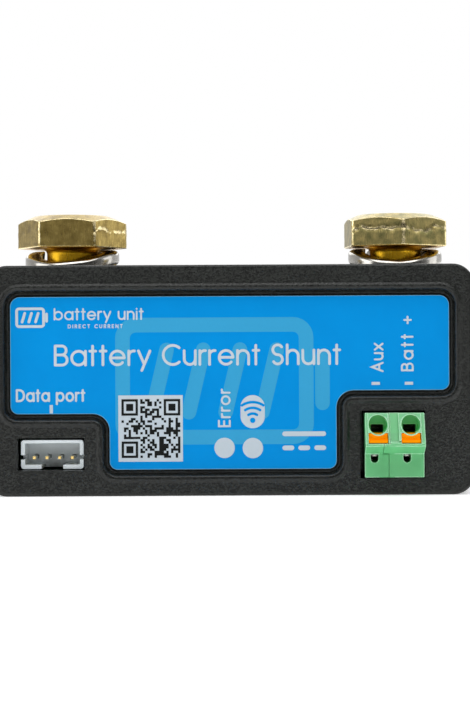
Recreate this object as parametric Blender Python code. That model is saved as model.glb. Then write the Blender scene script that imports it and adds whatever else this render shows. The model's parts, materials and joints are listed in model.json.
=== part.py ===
"""Battery monitor shunt: two brass terminal blocks joined by four resistor strips, on a moulded base with
two mounting ears, under a moulded shell, with the electronics upright in a front cover.

Frame: origin on the underside of the base, midway between the two terminal bolts. +X runs to the right
along the object, +Y runs from the front cover to the back, +Z points up. Sizes are written in millimetres,
and every mesh is made in metres through MM.
"""

import math

import bmesh
import bpy

MM = 0.001
GAP = 0.15  # between two pieces that touch or nearly touch
FAR = 3.0  # how far a cutter runs past the face that it opens

# ---- driving sizes of the housing
HALF_WIDTH = 38.3
HEIGHT = 36.15
FRONT = -26.5
REAR = 23.6
SEAM = -13.5  # where the front cover meets the rear shell and the base
CORNER = 3.4
WALL = 2.2
FRONT_EDGE = 0.5
FACE_INSIDE = -24.1

# ---- the label and its recess, as seen from the front
LABEL_LEFT, LABEL_RIGHT = -34.4, 34.3
LABEL_TOP, LABEL_BOTTOM = 31.2, 4.15
LEFT_TAB_BOTTOM, RIGHT_TAB_BOTTOM = 12.9, 16.4
LEFT_NOTCH, RIGHT_NOTCH = -18.9, 16.6
LABEL_THICKNESS = 0.22
RECESS_FLOOR = -25.5
RECESS_STEPS = ((0.55, 0.0), (0.72, 0.55), (0.95, 0.85), (1.45, 0.99), (1.6, FAR))

# ---- openings of the front cover: x low, z low, x high, z high
HEADER_OPENING = (-33.4, 4.05, -22.8, 9.15)
TERMINAL_OPENING = (20.3, 2.6, 30.45, 13.2)

# ---- base and ears
FOOT = 0.12  # the tray clears the ground by this much
FLOOR = 4.0
EAR_END = 60.0
EAR_HALF_DEPTH = 11.5
EAR_HEIGHT = 8.0
SLOT_CENTRE, SLOT_LENGTH, SLOT_WIDTH = 51.0, 11.5, 5.5

# ---- terminal blocks, bolts and resistor strips
BOLT_X = 27.5
BLOCK_INNER = 17.0
BLOCK_BOTTOM, BLOCK_TOP = EAR_HEIGHT + GAP, 35.05
BLOCK_EDGE = 0.6
BORE_RADIUS, BORE_BOTTOM = 5.1, 15.0
STRIP_CENTRES = (-7.5, -2.5, 2.5, 7.5)
STRIP_END = 20.5
STRIP_THICKNESS = 1.2
STRIP_BOTTOM, STRIP_TOP = 13.0, 31.0
HEAD_BOTTOM, HEAD_TOP = 40.0, 45.5
HEAD_RADIUS = 9.35
HEAD_FLAT_RADIUS, HEAD_DROP = 6.2, 1.35  # its top is flat this far out, then falls this much to the corners
THREAD_RADIUS, ROOT_RADIUS = 4.85, 4.2
UNDERCUT_END, BOLT_TIP = 37.0, 19.5
HEAD_TURNS = {"left": 0.0, "right": -24.3}  # degrees from +X to a corner of the head
WASHER_INNER, WASHER_OUTER, WASHER_THICKNESS = 5.4, 7.95, 2.1
WASHER_GAP, WASHER_HELIX = 14.0, 1.9  # degrees of the split, and the step between its two ends
# Each loose washer leans on its thread: degrees from +X to its split and to its low side, tilt, low point.
WASHER_POSES = {"left": (140.0, 222.0, 3.1, 0.5), "right": (131.0, 265.0, 2.45, 0.1)}

# ---- printed circuit board and what carries it
BOARD_FRONT, BOARD_BACK = -18.5, -16.9
BOARD_HALF_WIDTH, BOARD_BOTTOM, BOARD_TOP = 34.0, 3.0, 33.0
ON_BOARD = BOARD_FRONT - 0.05
SENSE_Z = 20.0
SENSE_HOLE = 2.2
MODULE_THICKNESS = 0.85

# ---- four-pole data header
HEADER = (-33.0, 4.2, -23.15, 8.75)
HEADER_DEPTH, HEADER_CAVITY = 6.0, 4.6
HEADER_PITCH, HEADER_PIN_Z = 2.0, 5.9

# ---- two-pole push-in terminal, made of two modules side by side
TERMINAL_LEFT, TERMINAL_SEAM, TERMINAL_RIGHT = 21.0, 24.75, 30.25
TONGUE_LEFT = 23.85  # the battery module's ledge reaches over the auxiliary module as far as this
TERMINAL_BOTTOM, TERMINAL_TOP = 2.8, 12.85
POLES = {"aux": 22.98, "battery": 28.06}
FUNNEL_Z, FUNNEL_RADIUS = 11.1, 1.5
BUTTON_BOTTOM, BUTTON_TOP = 8.3, 9.75
BUTTON_FRONT, BUTTON_BACK = -29.6, -23.5
BUTTON_TRAVEL = 1.1
TERMINAL_FACE, LEDGE = -27.2, -30.4
CHAMBER_FRONT, FUNNEL_FLOOR = -23.2, -25.2
CONTACT_Z = 6.0
TEST_OFFSET = -0.48  # the test holes and the contact bars stand this far to the side of the funnels

# ---- light pipes: name, x, z
LIGHTS = (("error", -0.93, 7.45), ("status", 3.5, 7.4))


# ---------------------------------------------------------------- materials

def material(name, colour, roughness, metallic=0.0):
    made = bpy.data.materials.new(name)
    made.use_nodes = True
    shader = made.node_tree.nodes["Principled BSDF"]
    shader.inputs["Base Color"].default_value = (*colour, 1.0)
    shader.inputs["Roughness"].default_value = roughness
    shader.inputs["Metallic"].default_value = metallic
    made.diffuse_color = (*colour, 1.0)
    return made


# ---------------------------------------------------------------- outlines

def arc(centre, radius, start, end, steps):
    """Points along an arc, in degrees, both ends included."""
    angles = [math.radians(start + (end - start) * i / steps) for i in range(steps + 1)]
    return [(centre[0] + radius * math.cos(a), centre[1] + radius * math.sin(a)) for a in angles]


def circle(centre, radius, steps=24):
    return arc(centre, radius, 0.0, 360.0 - 360.0 / steps, steps - 1)


def rectangle(low, high):
    return [(low[0], low[1]), (high[0], low[1]), (high[0], high[1]), (low[0], high[1])]


def rounded(corners, radii, steps=3):
    """An outline through corners, each rounded by its own radius. It handles corners that turn either way."""
    points = []
    for i, corner in enumerate(corners):
        before, after, radius = corners[i - 1], corners[(i + 1) % len(corners)], radii[i]
        if radius <= 0:
            points.append(corner)
            continue
        into = direction(before, corner)
        out = direction(corner, after)
        turn = into[0] * out[1] - into[1] * out[0]
        half = math.atan2(turn, into[0] * out[0] + into[1] * out[1]) / 2
        reach = radius * math.tan(abs(half))
        side = math.copysign(1.0, turn)
        start = (corner[0] - into[0] * reach, corner[1] - into[1] * reach)
        centre = (start[0] - into[1] * radius * side, start[1] + into[0] * radius * side)
        first = math.degrees(math.atan2(start[1] - centre[1], start[0] - centre[0]))
        points += arc(centre, radius, first, first + math.degrees(2 * half), steps)
    return points


def direction(a, b):
    length = math.hypot(b[0] - a[0], b[1] - a[1])
    return (b[0] - a[0]) / length, (b[1] - a[1]) / length


def stadium(centre, length, width, steps=8):
    """A slot with round ends, long along the first axis."""
    reach = (length - width) / 2
    right = arc((centre[0] + reach, centre[1]), width / 2, -90.0, 90.0, steps)
    left = arc((centre[0] - reach, centre[1]), width / 2, 90.0, 270.0, steps)
    return right + left


def face_outline(inset=0.0):
    """The housing's outline seen from the front."""
    low, high = (-HALF_WIDTH + inset, inset), (HALF_WIDTH - inset, HEIGHT - inset)
    return rounded(rectangle(low, high), [CORNER - inset] * 4, 5)


def label_outline(grow=0.0):
    """The label seen from the front: a rectangle with a notch at each lower corner, grown outwards."""
    corners = [
        (LABEL_LEFT - grow, LEFT_TAB_BOTTOM - grow),
        (LEFT_NOTCH - grow, LEFT_TAB_BOTTOM - grow),
        (LEFT_NOTCH - grow, LABEL_BOTTOM - grow),
        (RIGHT_NOTCH + grow, LABEL_BOTTOM - grow),
        (RIGHT_NOTCH + grow, RIGHT_TAB_BOTTOM - grow),
        (LABEL_RIGHT + grow, RIGHT_TAB_BOTTOM - grow),
        (LABEL_RIGHT + grow, LABEL_TOP + grow),
        (LABEL_LEFT - grow, LABEL_TOP + grow),
    ]
    outer, inner = 1.2 + grow, 2.7 - grow
    return rounded(corners, [outer, inner, outer, outer, inner, outer, outer + 0.3, outer + 0.3])


# ---------------------------------------------------------------- meshes

def place(axis, point, along):
    """An outline point and a position along axis, as x, y, z. X takes (y, z), Y (x, z) and Z (x, y)."""
    a, b = point
    return {"X": (along, a, b), "Y": (a, along, b), "Z": (a, b, along)}[axis]


def loft(axis, rings):
    """A closed mesh through rings, each (outline, position along axis), with flat ends."""
    mesh = bmesh.new()
    loops = []
    for outline, along in rings:
        points = [place(axis, point, along) for point in outline]
        loops.append([mesh.verts.new([c * MM for c in point]) for point in points])
    count = len(loops[0])
    for lower, upper in zip(loops, loops[1:]):
        for i in range(count):
            j = (i + 1) % count
            mesh.faces.new((lower[i], lower[j], upper[j], upper[i]))
    mesh.faces.new(loops[0][::-1])
    mesh.faces.new(loops[-1])
    bmesh.ops.recalc_face_normals(mesh, faces=mesh.faces)
    return mesh


def prism(axis, outline, start, end):
    return loft(axis, [(outline, start), (outline, end)])


def box(low, high):
    return prism("Z", rectangle(low[:2], high[:2]), low[2], high[2])


def bevelled(mesh, width, segments=1):
    bmesh.ops.bevel(
        mesh, geom=mesh.edges[:], offset=width * MM, segments=segments, affect="EDGES", profile=0.5)
    return mesh


def turned(axis, centre, profile, steps=24):
    """A round piece about axis: profile is (radius, position along axis) from one end to the other."""
    return loft(axis, [(circle(centre, radius, steps), along) for radius, along in profile])


def merged(*meshes):
    """Separate meshes as one, for a cutter made of several bodies."""
    whole = meshes[0]
    for mesh in meshes[1:]:
        part = bpy.data.meshes.new("part")
        mesh.to_mesh(part)
        whole.from_mesh(part)
        bpy.data.meshes.remove(part)
    return whole


def link(name, mesh, finish=None, origin=(0.0, 0.0, 0.0)):
    """Makes an object of a bmesh, with its origin at the given point in millimetres."""
    bmesh.ops.translate(mesh, verts=mesh.verts, vec=[-c * MM for c in origin])
    data = bpy.data.meshes.new(name)
    mesh.to_mesh(data)
    mesh.free()
    made = bpy.data.objects.new(name, data)
    made.location = [c * MM for c in origin]
    bpy.context.scene.collection.objects.link(made)
    if finish:
        data.materials.append(finish)
    return made


def combine(target, operation, mesh):
    """Adds a Boolean modifier whose other object is a hidden wire helper made of mesh."""
    helper = link(f"{target.name}_{operation.lower()}_{len(target.modifiers)}", mesh)
    helper.hide_render = True
    helper.display_type = "WIRE"
    modifier = target.modifiers.new(operation.title(), "BOOLEAN")
    modifier.operation = operation
    modifier.solver = "EXACT"
    modifier.object = helper
    return target


def cut(target, *meshes):
    for mesh in meshes:
        combine(target, "DIFFERENCE", mesh)
    return target


def add(target, *meshes):
    for mesh in meshes:
        combine(target, "UNION", mesh)
    return target


def smooth(target, degrees=30.0):
    target.data.shade_smooth()
    target.data.set_sharp_from_angle(angle=math.radians(degrees))
    return target


# ---------------------------------------------------------------- housing

def snap_hook(x, root, tip, nose):
    """A moulded tongue that reaches into the front cover: z of its root face, its outer face and its nose."""
    bite = tip + math.copysign(0.5, nose - tip)  # where it grows out of its own wall
    outline = [(SEAM + 2.0, root), (SEAM - 2.8, root), (SEAM - 2.8, tip), (SEAM - 2.3, nose),
               (SEAM - 1.7, nose), (SEAM - 1.7, tip), (SEAM + 0.3, tip), (SEAM + 0.3, bite),
               (SEAM + 2.0, bite)]
    return prism("X", outline, x - 3.0, x + 3.0)


def snap_pockets(x):
    low, high = (x - 3.3, SEAM - 3.1), (x + 3.3, SEAM - 1.3)
    roof, floor = (HEIGHT - WALL - 0.5, HEIGHT - WALL + 0.9), (WALL - 0.9, WALL + 0.5)
    return [box((*low, z[0]), (*high, z[1])) for z in (roof, floor)]


def front_cover(finish):
    outline = face_outline()
    cover = link("front_cover", loft("Y", [
        (face_outline(FRONT_EDGE), FRONT),
        (face_outline(FRONT_EDGE * 0.3), FRONT + FRONT_EDGE * 0.3),
        (outline, FRONT + FRONT_EDGE),
        (outline, SEAM - GAP / 2),
    ]), finish)
    inside = rounded(rectangle((WALL - HALF_WIDTH, WALL), (HALF_WIDTH - WALL, HEIGHT - WALL)), [1.0] * 4, 2)
    cut(cover, prism("Y", inside, FACE_INSIDE, SEAM + FAR))
    cut(cover, loft("Y", [(label_outline(grow), RECESS_FLOOR - depth) for grow, depth in RECESS_STEPS]))
    for opening in (HEADER_OPENING, TERMINAL_OPENING):
        cut(cover, prism("Y", rectangle(opening[:2], opening[2:]), FRONT - FAR, FACE_INSIDE + 1.0))
    for _, x, z in LIGHTS:
        cut(cover, prism("Y", circle((x, z), 1.7, 16), FRONT - FAR, FACE_INSIDE + 1.0))
    for x in (-14.0, 14.0):
        cut(cover, *snap_pockets(x))
    return smooth(cover)


def label(finish):
    back = RECESS_FLOOR - 0.03
    return link("label", prism("Y", label_outline(), back - LABEL_THICKNESS, back), finish)


def rear_shell(finish):
    low = FLOOR + GAP
    def outline(inset):
        top = HEIGHT - inset
        side = HALF_WIDTH - inset
        return rounded(rectangle((-side, low), (side, top)), [0, 0, CORNER - inset, CORNER - inset], 5)
    shell = link("rear_shell", loft("Y", [
        (outline(0.0), SEAM + GAP / 2),
        (outline(0.0), REAR - 1.5),
        (outline(0.45), REAR - 0.45),
        (outline(1.5), REAR),
    ]), finish)
    inside = rectangle((WALL - HALF_WIDTH, low - FAR), (HALF_WIDTH - WALL, HEIGHT - WALL))
    cut(shell, prism("Y", inside, SEAM - FAR, REAR - WALL))
    for x in (-14.0, 14.0):
        add(shell, snap_hook(x, HEIGHT - WALL - 1.6, HEIGHT - WALL - GAP, HEIGHT - WALL + 0.6))
    for side in (-1, 1):
        near, far = sorted((side * (BLOCK_INNER - 0.3), side * (HALF_WIDTH + FAR)))
        cut(shell, box((near, -EAR_HALF_DEPTH - 0.3, low - FAR), (far, EAR_HALF_DEPTH + 0.3, HEIGHT + FAR)))
        boss = (side * 31.0, 17.8)
        add(shell, turned("Z", boss, [(3.1, low), (3.1, HEIGHT - WALL + 0.5)], 16))
        cut(shell, turned("Z", boss, [(1.3, low - FAR), (1.3, 18.0)], 12))
    return smooth(shell)


def base_plate(finish):
    """A bar that runs out into both ears, standing a hair lower than the tray that it carries."""
    def bar(inset):
        low = (inset - EAR_END, inset - EAR_HALF_DEPTH)
        high = (EAR_END - inset, EAR_HALF_DEPTH - inset)
        return rounded(rectangle(low, high), [5.0 - inset] * 4, 6)
    base = link("base_plate", loft("Z", [
        (bar(0.4), 0.0), (bar(0.0), 0.4), (bar(0.0), EAR_HEIGHT - 0.6), (bar(0.6), EAR_HEIGHT)]), finish)
    between = BLOCK_INNER - 1.0
    past = EAR_HALF_DEPTH + FAR
    cut(base, box((-between, -past, FLOOR - 0.2), (between, past, EAR_HEIGHT + FAR)))
    tray = rounded(rectangle((-HALF_WIDTH, FOOT), (HALF_WIDTH, FLOOR)), [CORNER, CORNER, 0, 0], 5)
    add(base, prism("Y", tray, SEAM + GAP / 2, REAR))
    for side in (-1, 1):
        slot = stadium((side * SLOT_CENTRE, 0.0), SLOT_LENGTH, SLOT_WIDTH)
        cut(base, prism("Z", slot, -FAR, EAR_HEIGHT + FAR))
        screw_hole = [(4.1, -FAR), (4.1, 3.3), (2.3, 3.35), (2.3, EAR_HEIGHT + FAR)]
        cut(base, *[turned("Z", (side * BOLT_X, y), screw_hole, 16) for y in (-7.8, 7.8)])
        shell_hole = [(3.3, -FAR), (3.3, 2.0), (1.7, 2.05), (1.7, FLOOR + FAR)]
        cut(base, turned("Z", (side * 31.0, 17.8), shell_hole, 16))
        add(base, snap_hook(side * 14.0, FLOOR - 0.3, WALL + GAP, WALL - 0.6))
    return smooth(base)


# ---------------------------------------------------------------- current path

def terminal_block(name, side, finish):
    near, far = sorted((side * BLOCK_INNER, side * HALF_WIDTH))
    body = bevelled(box((near, -EAR_HALF_DEPTH, BLOCK_BOTTOM), (far, EAR_HALF_DEPTH, BLOCK_TOP)), BLOCK_EDGE)
    block = link(name, body, finish)
    centre = (side * BOLT_X, 0.0)
    mouth = [(BORE_RADIUS, BORE_BOTTOM), (BORE_RADIUS, BLOCK_TOP - 0.5), (BORE_RADIUS + 0.5, BLOCK_TOP),
             (BORE_RADIUS + 0.5, BLOCK_TOP + FAR)]
    cut(block, turned("Z", centre, mouth, 32))
    for y in (-7.8, 7.8):
        screw_bore = [(SENSE_HOLE, BLOCK_BOTTOM - FAR), (SENSE_HOLE, 16.5)]
        cut(block, turned("Z", (side * BOLT_X, y), screw_bore, 12))
    sense_bore = [(SENSE_HOLE, -EAR_HALF_DEPTH - FAR), (SENSE_HOLE, -6.0)]
    cut(block, turned("Y", (side * BOLT_X, SENSE_Z), sense_bore, 12))
    near, far = sorted((side * (BLOCK_INNER - FAR), side * (STRIP_END + GAP)))
    half = STRIP_THICKNESS / 2 + GAP
    cut(block, merged(*[
        box((near, y - half, STRIP_BOTTOM - GAP), (far, y + half, STRIP_TOP + GAP)) for y in STRIP_CENTRES]))
    return smooth(block)


def resistor_strip(number, y, finish):
    half = STRIP_THICKNESS / 2
    strip = link(f"resistor_strip_{number}",
                 box((-STRIP_END, y - half, STRIP_BOTTOM), (STRIP_END, y + half, STRIP_TOP)), finish)
    saw_cut = 2.0 + 0.8 * number  # each strip is trimmed to value by a saw cut of its own depth
    return cut(strip, box((-0.5, y - 2.0, STRIP_TOP - saw_cut), (0.5, y + 2.0, STRIP_TOP + FAR)))


def hexagon(centre, radius, turn):
    return arc(centre, radius, turn, turn + 300.0, 5)


def terminal_bolt(name, side, turn, finish):
    centre = (side * BOLT_X, 0.0)
    origin = (side * BOLT_X, 0.0, HEAD_BOTTOM)
    head = link(name, prism("Z", hexagon(centre, HEAD_RADIUS, turn), HEAD_BOTTOM, HEAD_TOP), finish, origin)
    combine(head, "INTERSECT", turned("Z", centre, [
        (HEAD_RADIUS + 0.1, HEAD_BOTTOM - FAR), (HEAD_RADIUS + 0.1, HEAD_TOP - HEAD_DROP),
        (HEAD_FLAT_RADIUS, HEAD_TOP), (HEAD_FLAT_RADIUS, HEAD_TOP + FAR)], 36))
    add(head, turned("Z", centre, [
        (ROOT_RADIUS - 0.6, BOLT_TIP), (THREAD_RADIUS, BOLT_TIP + 1.2), (THREAD_RADIUS, UNDERCUT_END - 0.6),
        (ROOT_RADIUS, UNDERCUT_END), (ROOT_RADIUS, HEAD_BOTTOM - 0.5), (ROOT_RADIUS + 0.5, HEAD_BOTTOM),
        (ROOT_RADIUS + 0.5, HEAD_BOTTOM + 0.5)], 32))
    return smooth(head)


def washer_path(pose, steps):
    """The angle and the height of the ring's underside along a left-hand helix that leans to one side."""
    split, low_side, tilt, clearance = pose
    path = []
    for i in range(steps + 1):
        share = i / steps
        angle = math.radians(split + WASHER_GAP / 2 + (360.0 - WASHER_GAP) * share)
        lean = tilt * (1 - math.cos(angle - math.radians(low_side))) / 2
        path.append((angle, WASHER_HELIX * (1 - share) + lean))
    lowest = min(lift for _, lift in path)
    return [(angle, BLOCK_TOP + clearance + lift - lowest) for angle, lift in path]


def spring_washer(name, side, pose, finish, steps=40):
    mesh = bmesh.new()
    rings = []
    bow = 0.35
    for angle, low in washer_path(pose, steps):
        high = low + WASHER_THICKNESS
        section = [(WASHER_INNER, low), (WASHER_OUTER - bow, low), (WASHER_OUTER, low + bow),
                   (WASHER_OUTER, high - bow), (WASHER_OUTER - bow, high), (WASHER_INNER, high)]
        rings.append([
            mesh.verts.new(((side * BOLT_X + r * math.cos(angle)) * MM, r * math.sin(angle) * MM, z * MM))
            for r, z in section])
    count = len(rings[0])
    for first, second in zip(rings, rings[1:]):
        for i in range(count):
            j = (i + 1) % count
            mesh.faces.new((first[i], first[j], second[j], second[i]))
    mesh.faces.new(rings[0])
    mesh.faces.new(rings[-1][::-1])
    bmesh.ops.recalc_face_normals(mesh, faces=mesh.faces)
    return smooth(link(name, mesh, finish, (side * BOLT_X, 0.0, BLOCK_TOP)), 40.0)


# ---------------------------------------------------------------- board

def circuit_board(finish):
    corners = rectangle((-BOARD_HALF_WIDTH, BOARD_BOTTOM), (BOARD_HALF_WIDTH, BOARD_TOP))
    outline = rounded(corners, [1.5] * 4, 2)
    board = link("circuit_board", prism("Y", outline, BOARD_FRONT, BOARD_BACK), finish)
    holes = [((side * BOLT_X, SENSE_Z), SENSE_HOLE, 16) for side in (-1, 1)]
    holes += [((x, HEADER_PIN_Z), 0.55, 8) for x in header_pin_places()]
    holes += [((x, CONTACT_Z), 0.8, 8) for x in POLES.values()]
    cut(board, merged(*[
        prism("Y", circle(centre, radius, steps), BOARD_FRONT - FAR, BOARD_BACK + FAR)
        for centre, radius, steps in holes]))
    return board


def header_pin_places():
    middle = (HEADER[0] + HEADER[2]) / 2
    return [middle + HEADER_PITCH * (i - 1.5) for i in range(4)]


def data_header(finish):
    mouth = ON_BOARD - HEADER_DEPTH
    left, low, right, high = HEADER
    body = link("data_header", prism("Y", rounded(rectangle((left, low), (right, high)), [0.4] * 4, 2),
                                     mouth, ON_BOARD), finish)
    middle = (left + right) / 2
    floor = mouth + HEADER_CAVITY
    cut(body, prism("Y", rectangle((left + 0.6, low + 0.65), (right - 0.6, high - 0.5)), mouth - FAR, floor))
    cut(body, box((middle - 1.7, mouth - FAR, low - FAR), (middle + 1.7, floor, low + 1.5)))
    cut(body, box((left - FAR, mouth - FAR, low + 1.5), (right + FAR, mouth + 2.6, low + 2.2)))
    cut(body, merged(*[
        box((x - 0.3, floor - FAR, HEADER_PIN_Z - 0.3), (x + 0.3, ON_BOARD + FAR, HEADER_PIN_Z + 0.3))
        for x in header_pin_places()]))
    return body


def header_pin(number, x, finish):
    tip = ON_BOARD - HEADER_DEPTH + 0.9
    half = 0.25
    point = 0.12
    def square(size):
        return rectangle((x - size, HEADER_PIN_Z - size), (x + size, HEADER_PIN_Z + size))
    return link(f"header_pin_{number}", loft("Y", [
        (square(point), tip), (square(half), tip + 0.4), (square(half), BOARD_BACK + 1.0)]), finish)


def on_board(name, low, high, height, finish, bevel=0.1):
    """A surface-mounted part: low and high are its (x, z) corners."""
    body = box((low[0], ON_BOARD - height, low[1]), (high[0], ON_BOARD, high[1]))
    return link(name, bevelled(body, bevel), finish)


def shield_can(finish):
    base = ON_BOARD - MODULE_THICKNESS - 0.05
    can = link("module_shield", bevelled(box((-7.0, base - 1.9, 14.8), (7.0, base, 25.0)), 0.25), finish)
    return cut(can, box((-6.7, base - 1.6, 15.1), (6.7, base + FAR, 24.7)))


def capacitor(finish):
    centre = (-16.5, 25.5)
    return smooth(link("capacitor", turned("Y", centre, [
        (2.9, ON_BOARD - 5.2), (3.15, ON_BOARD - 4.95), (3.15, ON_BOARD - 1.3), (2.95, ON_BOARD - 1.1),
        (3.15, ON_BOARD - 0.9), (3.15, ON_BOARD)], 24), finish))


def standoff(name, side, finish):
    centre = (side * BOLT_X, SENSE_Z)
    bar = prism("Y", hexagon(centre, 3.8, 30.0), BOARD_BACK + 0.05, -EAR_HALF_DEPTH - 0.05)
    bore = [(SENSE_HOLE, BOARD_BACK - FAR), (SENSE_HOLE, -EAR_HALF_DEPTH + FAR)]
    return cut(link(name, bar, finish), turned("Y", centre, bore, 16))


def cross_recess(axis, centre, mouth, depth):
    """A cutter for a cross drive, between two places along axis."""
    half, arm = 0.35, 1.5
    quarter = [(arm, -half), (arm, half), (half, half)]
    turns = ((1, 0), (0, 1), (-1, 0), (0, -1))  # the cosine and sine of each quarter turn
    outline = [(centre[0] + a * c - b * s, centre[1] + a * s + b * c) for c, s in turns for a, b in quarter]
    return prism(axis, outline, mouth, depth)


def pan_screw(name, axis, centre, head, radius, shank, length_end, finish):
    """A pan-head screw: head is (outer face, underside) along axis, shank its radius, length_end its tip."""
    outer, under = head
    way = math.copysign(1.0, length_end - outer)
    body = smooth(link(name, turned(axis, centre, [
        (radius * 0.8, outer), (radius, outer + 0.5 * way), (radius, under), (shank, under + 0.01 * way),
        (shank, length_end - 0.6 * way), (shank * 0.6, length_end)], 16), finish))
    return cut(body, cross_recess(axis, centre, outer - way, outer + 1.1 * way))


def light_pipe(name, x, z, finish):
    return smooth(link(f"light_pipe_{name}", turned("Y", (x, z), [
        (1.55, RECESS_FLOOR + 0.02), (1.55, FACE_INSIDE + 0.1), (2.0, FACE_INSIDE + 0.1),
        (2.0, FACE_INSIDE + 0.8), (1.55, FACE_INSIDE + 0.8), (1.55, ON_BOARD - 1.7)], 16), finish))


# ---------------------------------------------------------------- push-in terminal

def terminal_module(name, x, left, right, finish):
    profile = [
        (ON_BOARD, TERMINAL_BOTTOM), (TERMINAL_FACE, TERMINAL_BOTTOM), (TERMINAL_FACE, 6.5), (LEDGE, 7.8),
        (LEDGE, 8.25), (TERMINAL_FACE, TERMINAL_TOP), (ON_BOARD, TERMINAL_TOP)]
    body = link(f"terminal_module_{name}", prism("X", profile, left, right), finish)
    inside = CHAMBER_FRONT + 0.5
    cut(body, box((x - 1.3, CHAMBER_FRONT, 5.2), (x + 1.3, ON_BOARD + FAR, 12.2)))
    cut(body, turned("Y", (x, FUNNEL_Z), [(FUNNEL_RADIUS, LEDGE - FAR), (FUNNEL_RADIUS, FUNNEL_FLOOR)], 20))
    cut(body, box((x - 1.0, FUNNEL_FLOOR - 0.5, BUTTON_TOP - 0.1), (x + 1.0, inside, FUNNEL_Z - 0.1)))
    pressed = BUTTON_BACK + BUTTON_TRAVEL + GAP
    cut(body, box((x - 1.55, LEDGE - FAR, BUTTON_BOTTOM - 0.1), (x + 1.55, pressed, BUTTON_TOP + 0.1)))
    test = x + TEST_OFFSET
    probe = [(test + 0.6, 6.4), (test - 0.6, 6.4), *arc((test, 5.68), 0.6, 180.0, 360.0, 6)]
    return cut(body, prism("Y", probe, TERMINAL_FACE - 2.0, inside))


def terminal_modules(finish):
    """Two modules, one wire each. A tongue of the battery module's ledge lies in a pocket of the other."""
    seam = GAP / 4
    aux = terminal_module("aux", POLES["aux"], TERMINAL_LEFT, TERMINAL_SEAM - seam, finish)
    cut(aux, box((TONGUE_LEFT - 2 * seam, LEDGE - FAR, 6.4), (TERMINAL_SEAM + FAR, TERMINAL_FACE + 0.6, 8.3)))
    battery = terminal_module("battery", POLES["battery"], TERMINAL_SEAM + seam, TERMINAL_RIGHT, finish)
    tongue = [(TERMINAL_FACE + 0.5, 6.5), (TERMINAL_FACE, 6.5), (LEDGE, 7.8), (LEDGE, 8.2),
              (TERMINAL_FACE + 0.5, 8.2)]
    add(battery, prism("X", tongue, TONGUE_LEFT, TERMINAL_SEAM + 0.4))
    groove = [(LEDGE - 1.0, 8.5), (LEDGE + 0.75, 8.5), (TERMINAL_FACE + 1.1, TERMINAL_TOP + 1.0),
              (LEDGE - 1.0, TERMINAL_TOP + 1.0)]
    cut(battery, prism("X", groove, TERMINAL_SEAM - 1.0, TERMINAL_SEAM + 1.8))


def release_button(name, x, finish):
    grip = [(BUTTON_FRONT, BUTTON_BOTTOM), (BUTTON_BACK, BUTTON_BOTTOM), (BUTTON_BACK, BUTTON_TOP),
            (BUTTON_FRONT + 0.35, BUTTON_TOP), (BUTTON_FRONT + 0.55, BUTTON_TOP - 0.5),
            (BUTTON_FRONT + 0.55, BUTTON_BOTTOM + 0.6), (BUTTON_FRONT, BUTTON_BOTTOM + 0.35)]
    origin = (x, BUTTON_BACK, (BUTTON_BOTTOM + BUTTON_TOP) / 2)
    return link(f"release_button_{name}", prism("X", grip, x - 1.45, x + 1.45), finish, origin)


def clamp_spring(name, x, finish):
    """A bent leaf: fixed leg along the contact bar, loop at the back, free leg across the wire's way."""
    t = 0.35
    leaf = [(-22.0, 7.1), (-20.1, 7.1), *arc((-20.1, 8.55), 1.45, -90.0, 60.0, 5), (-22.3, 11.4),
            (-22.4, 11.0), *arc((-20.1, 8.55), 1.45 - t, 60.0, -90.0, 5), (-22.0, 7.1 + t)]
    return link(f"clamp_spring_{name}", prism("X", leaf, x - 1.0, x + 1.0), finish)


def contact_bar(name, x, finish):
    """A bar along the chamber's floor, seen through the test hole, and a solder tail through the board."""
    side = x + TEST_OFFSET
    shown = box((side - 0.35, -25.6, CONTACT_Z), (side + 0.5, -19.0, CONTACT_Z + 0.3))
    bar = link(f"contact_bar_{name}", shown, finish)
    return add(bar, box((x - 0.4, -19.5, CONTACT_Z - 0.2), (x + 0.2, BOARD_BACK + 1.0, CONTACT_Z + 0.25)))


# ---------------------------------------------------------------- assembly

def clear_scene():
    for made in list(bpy.data.objects):
        bpy.data.objects.remove(made, do_unlink=True)


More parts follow.
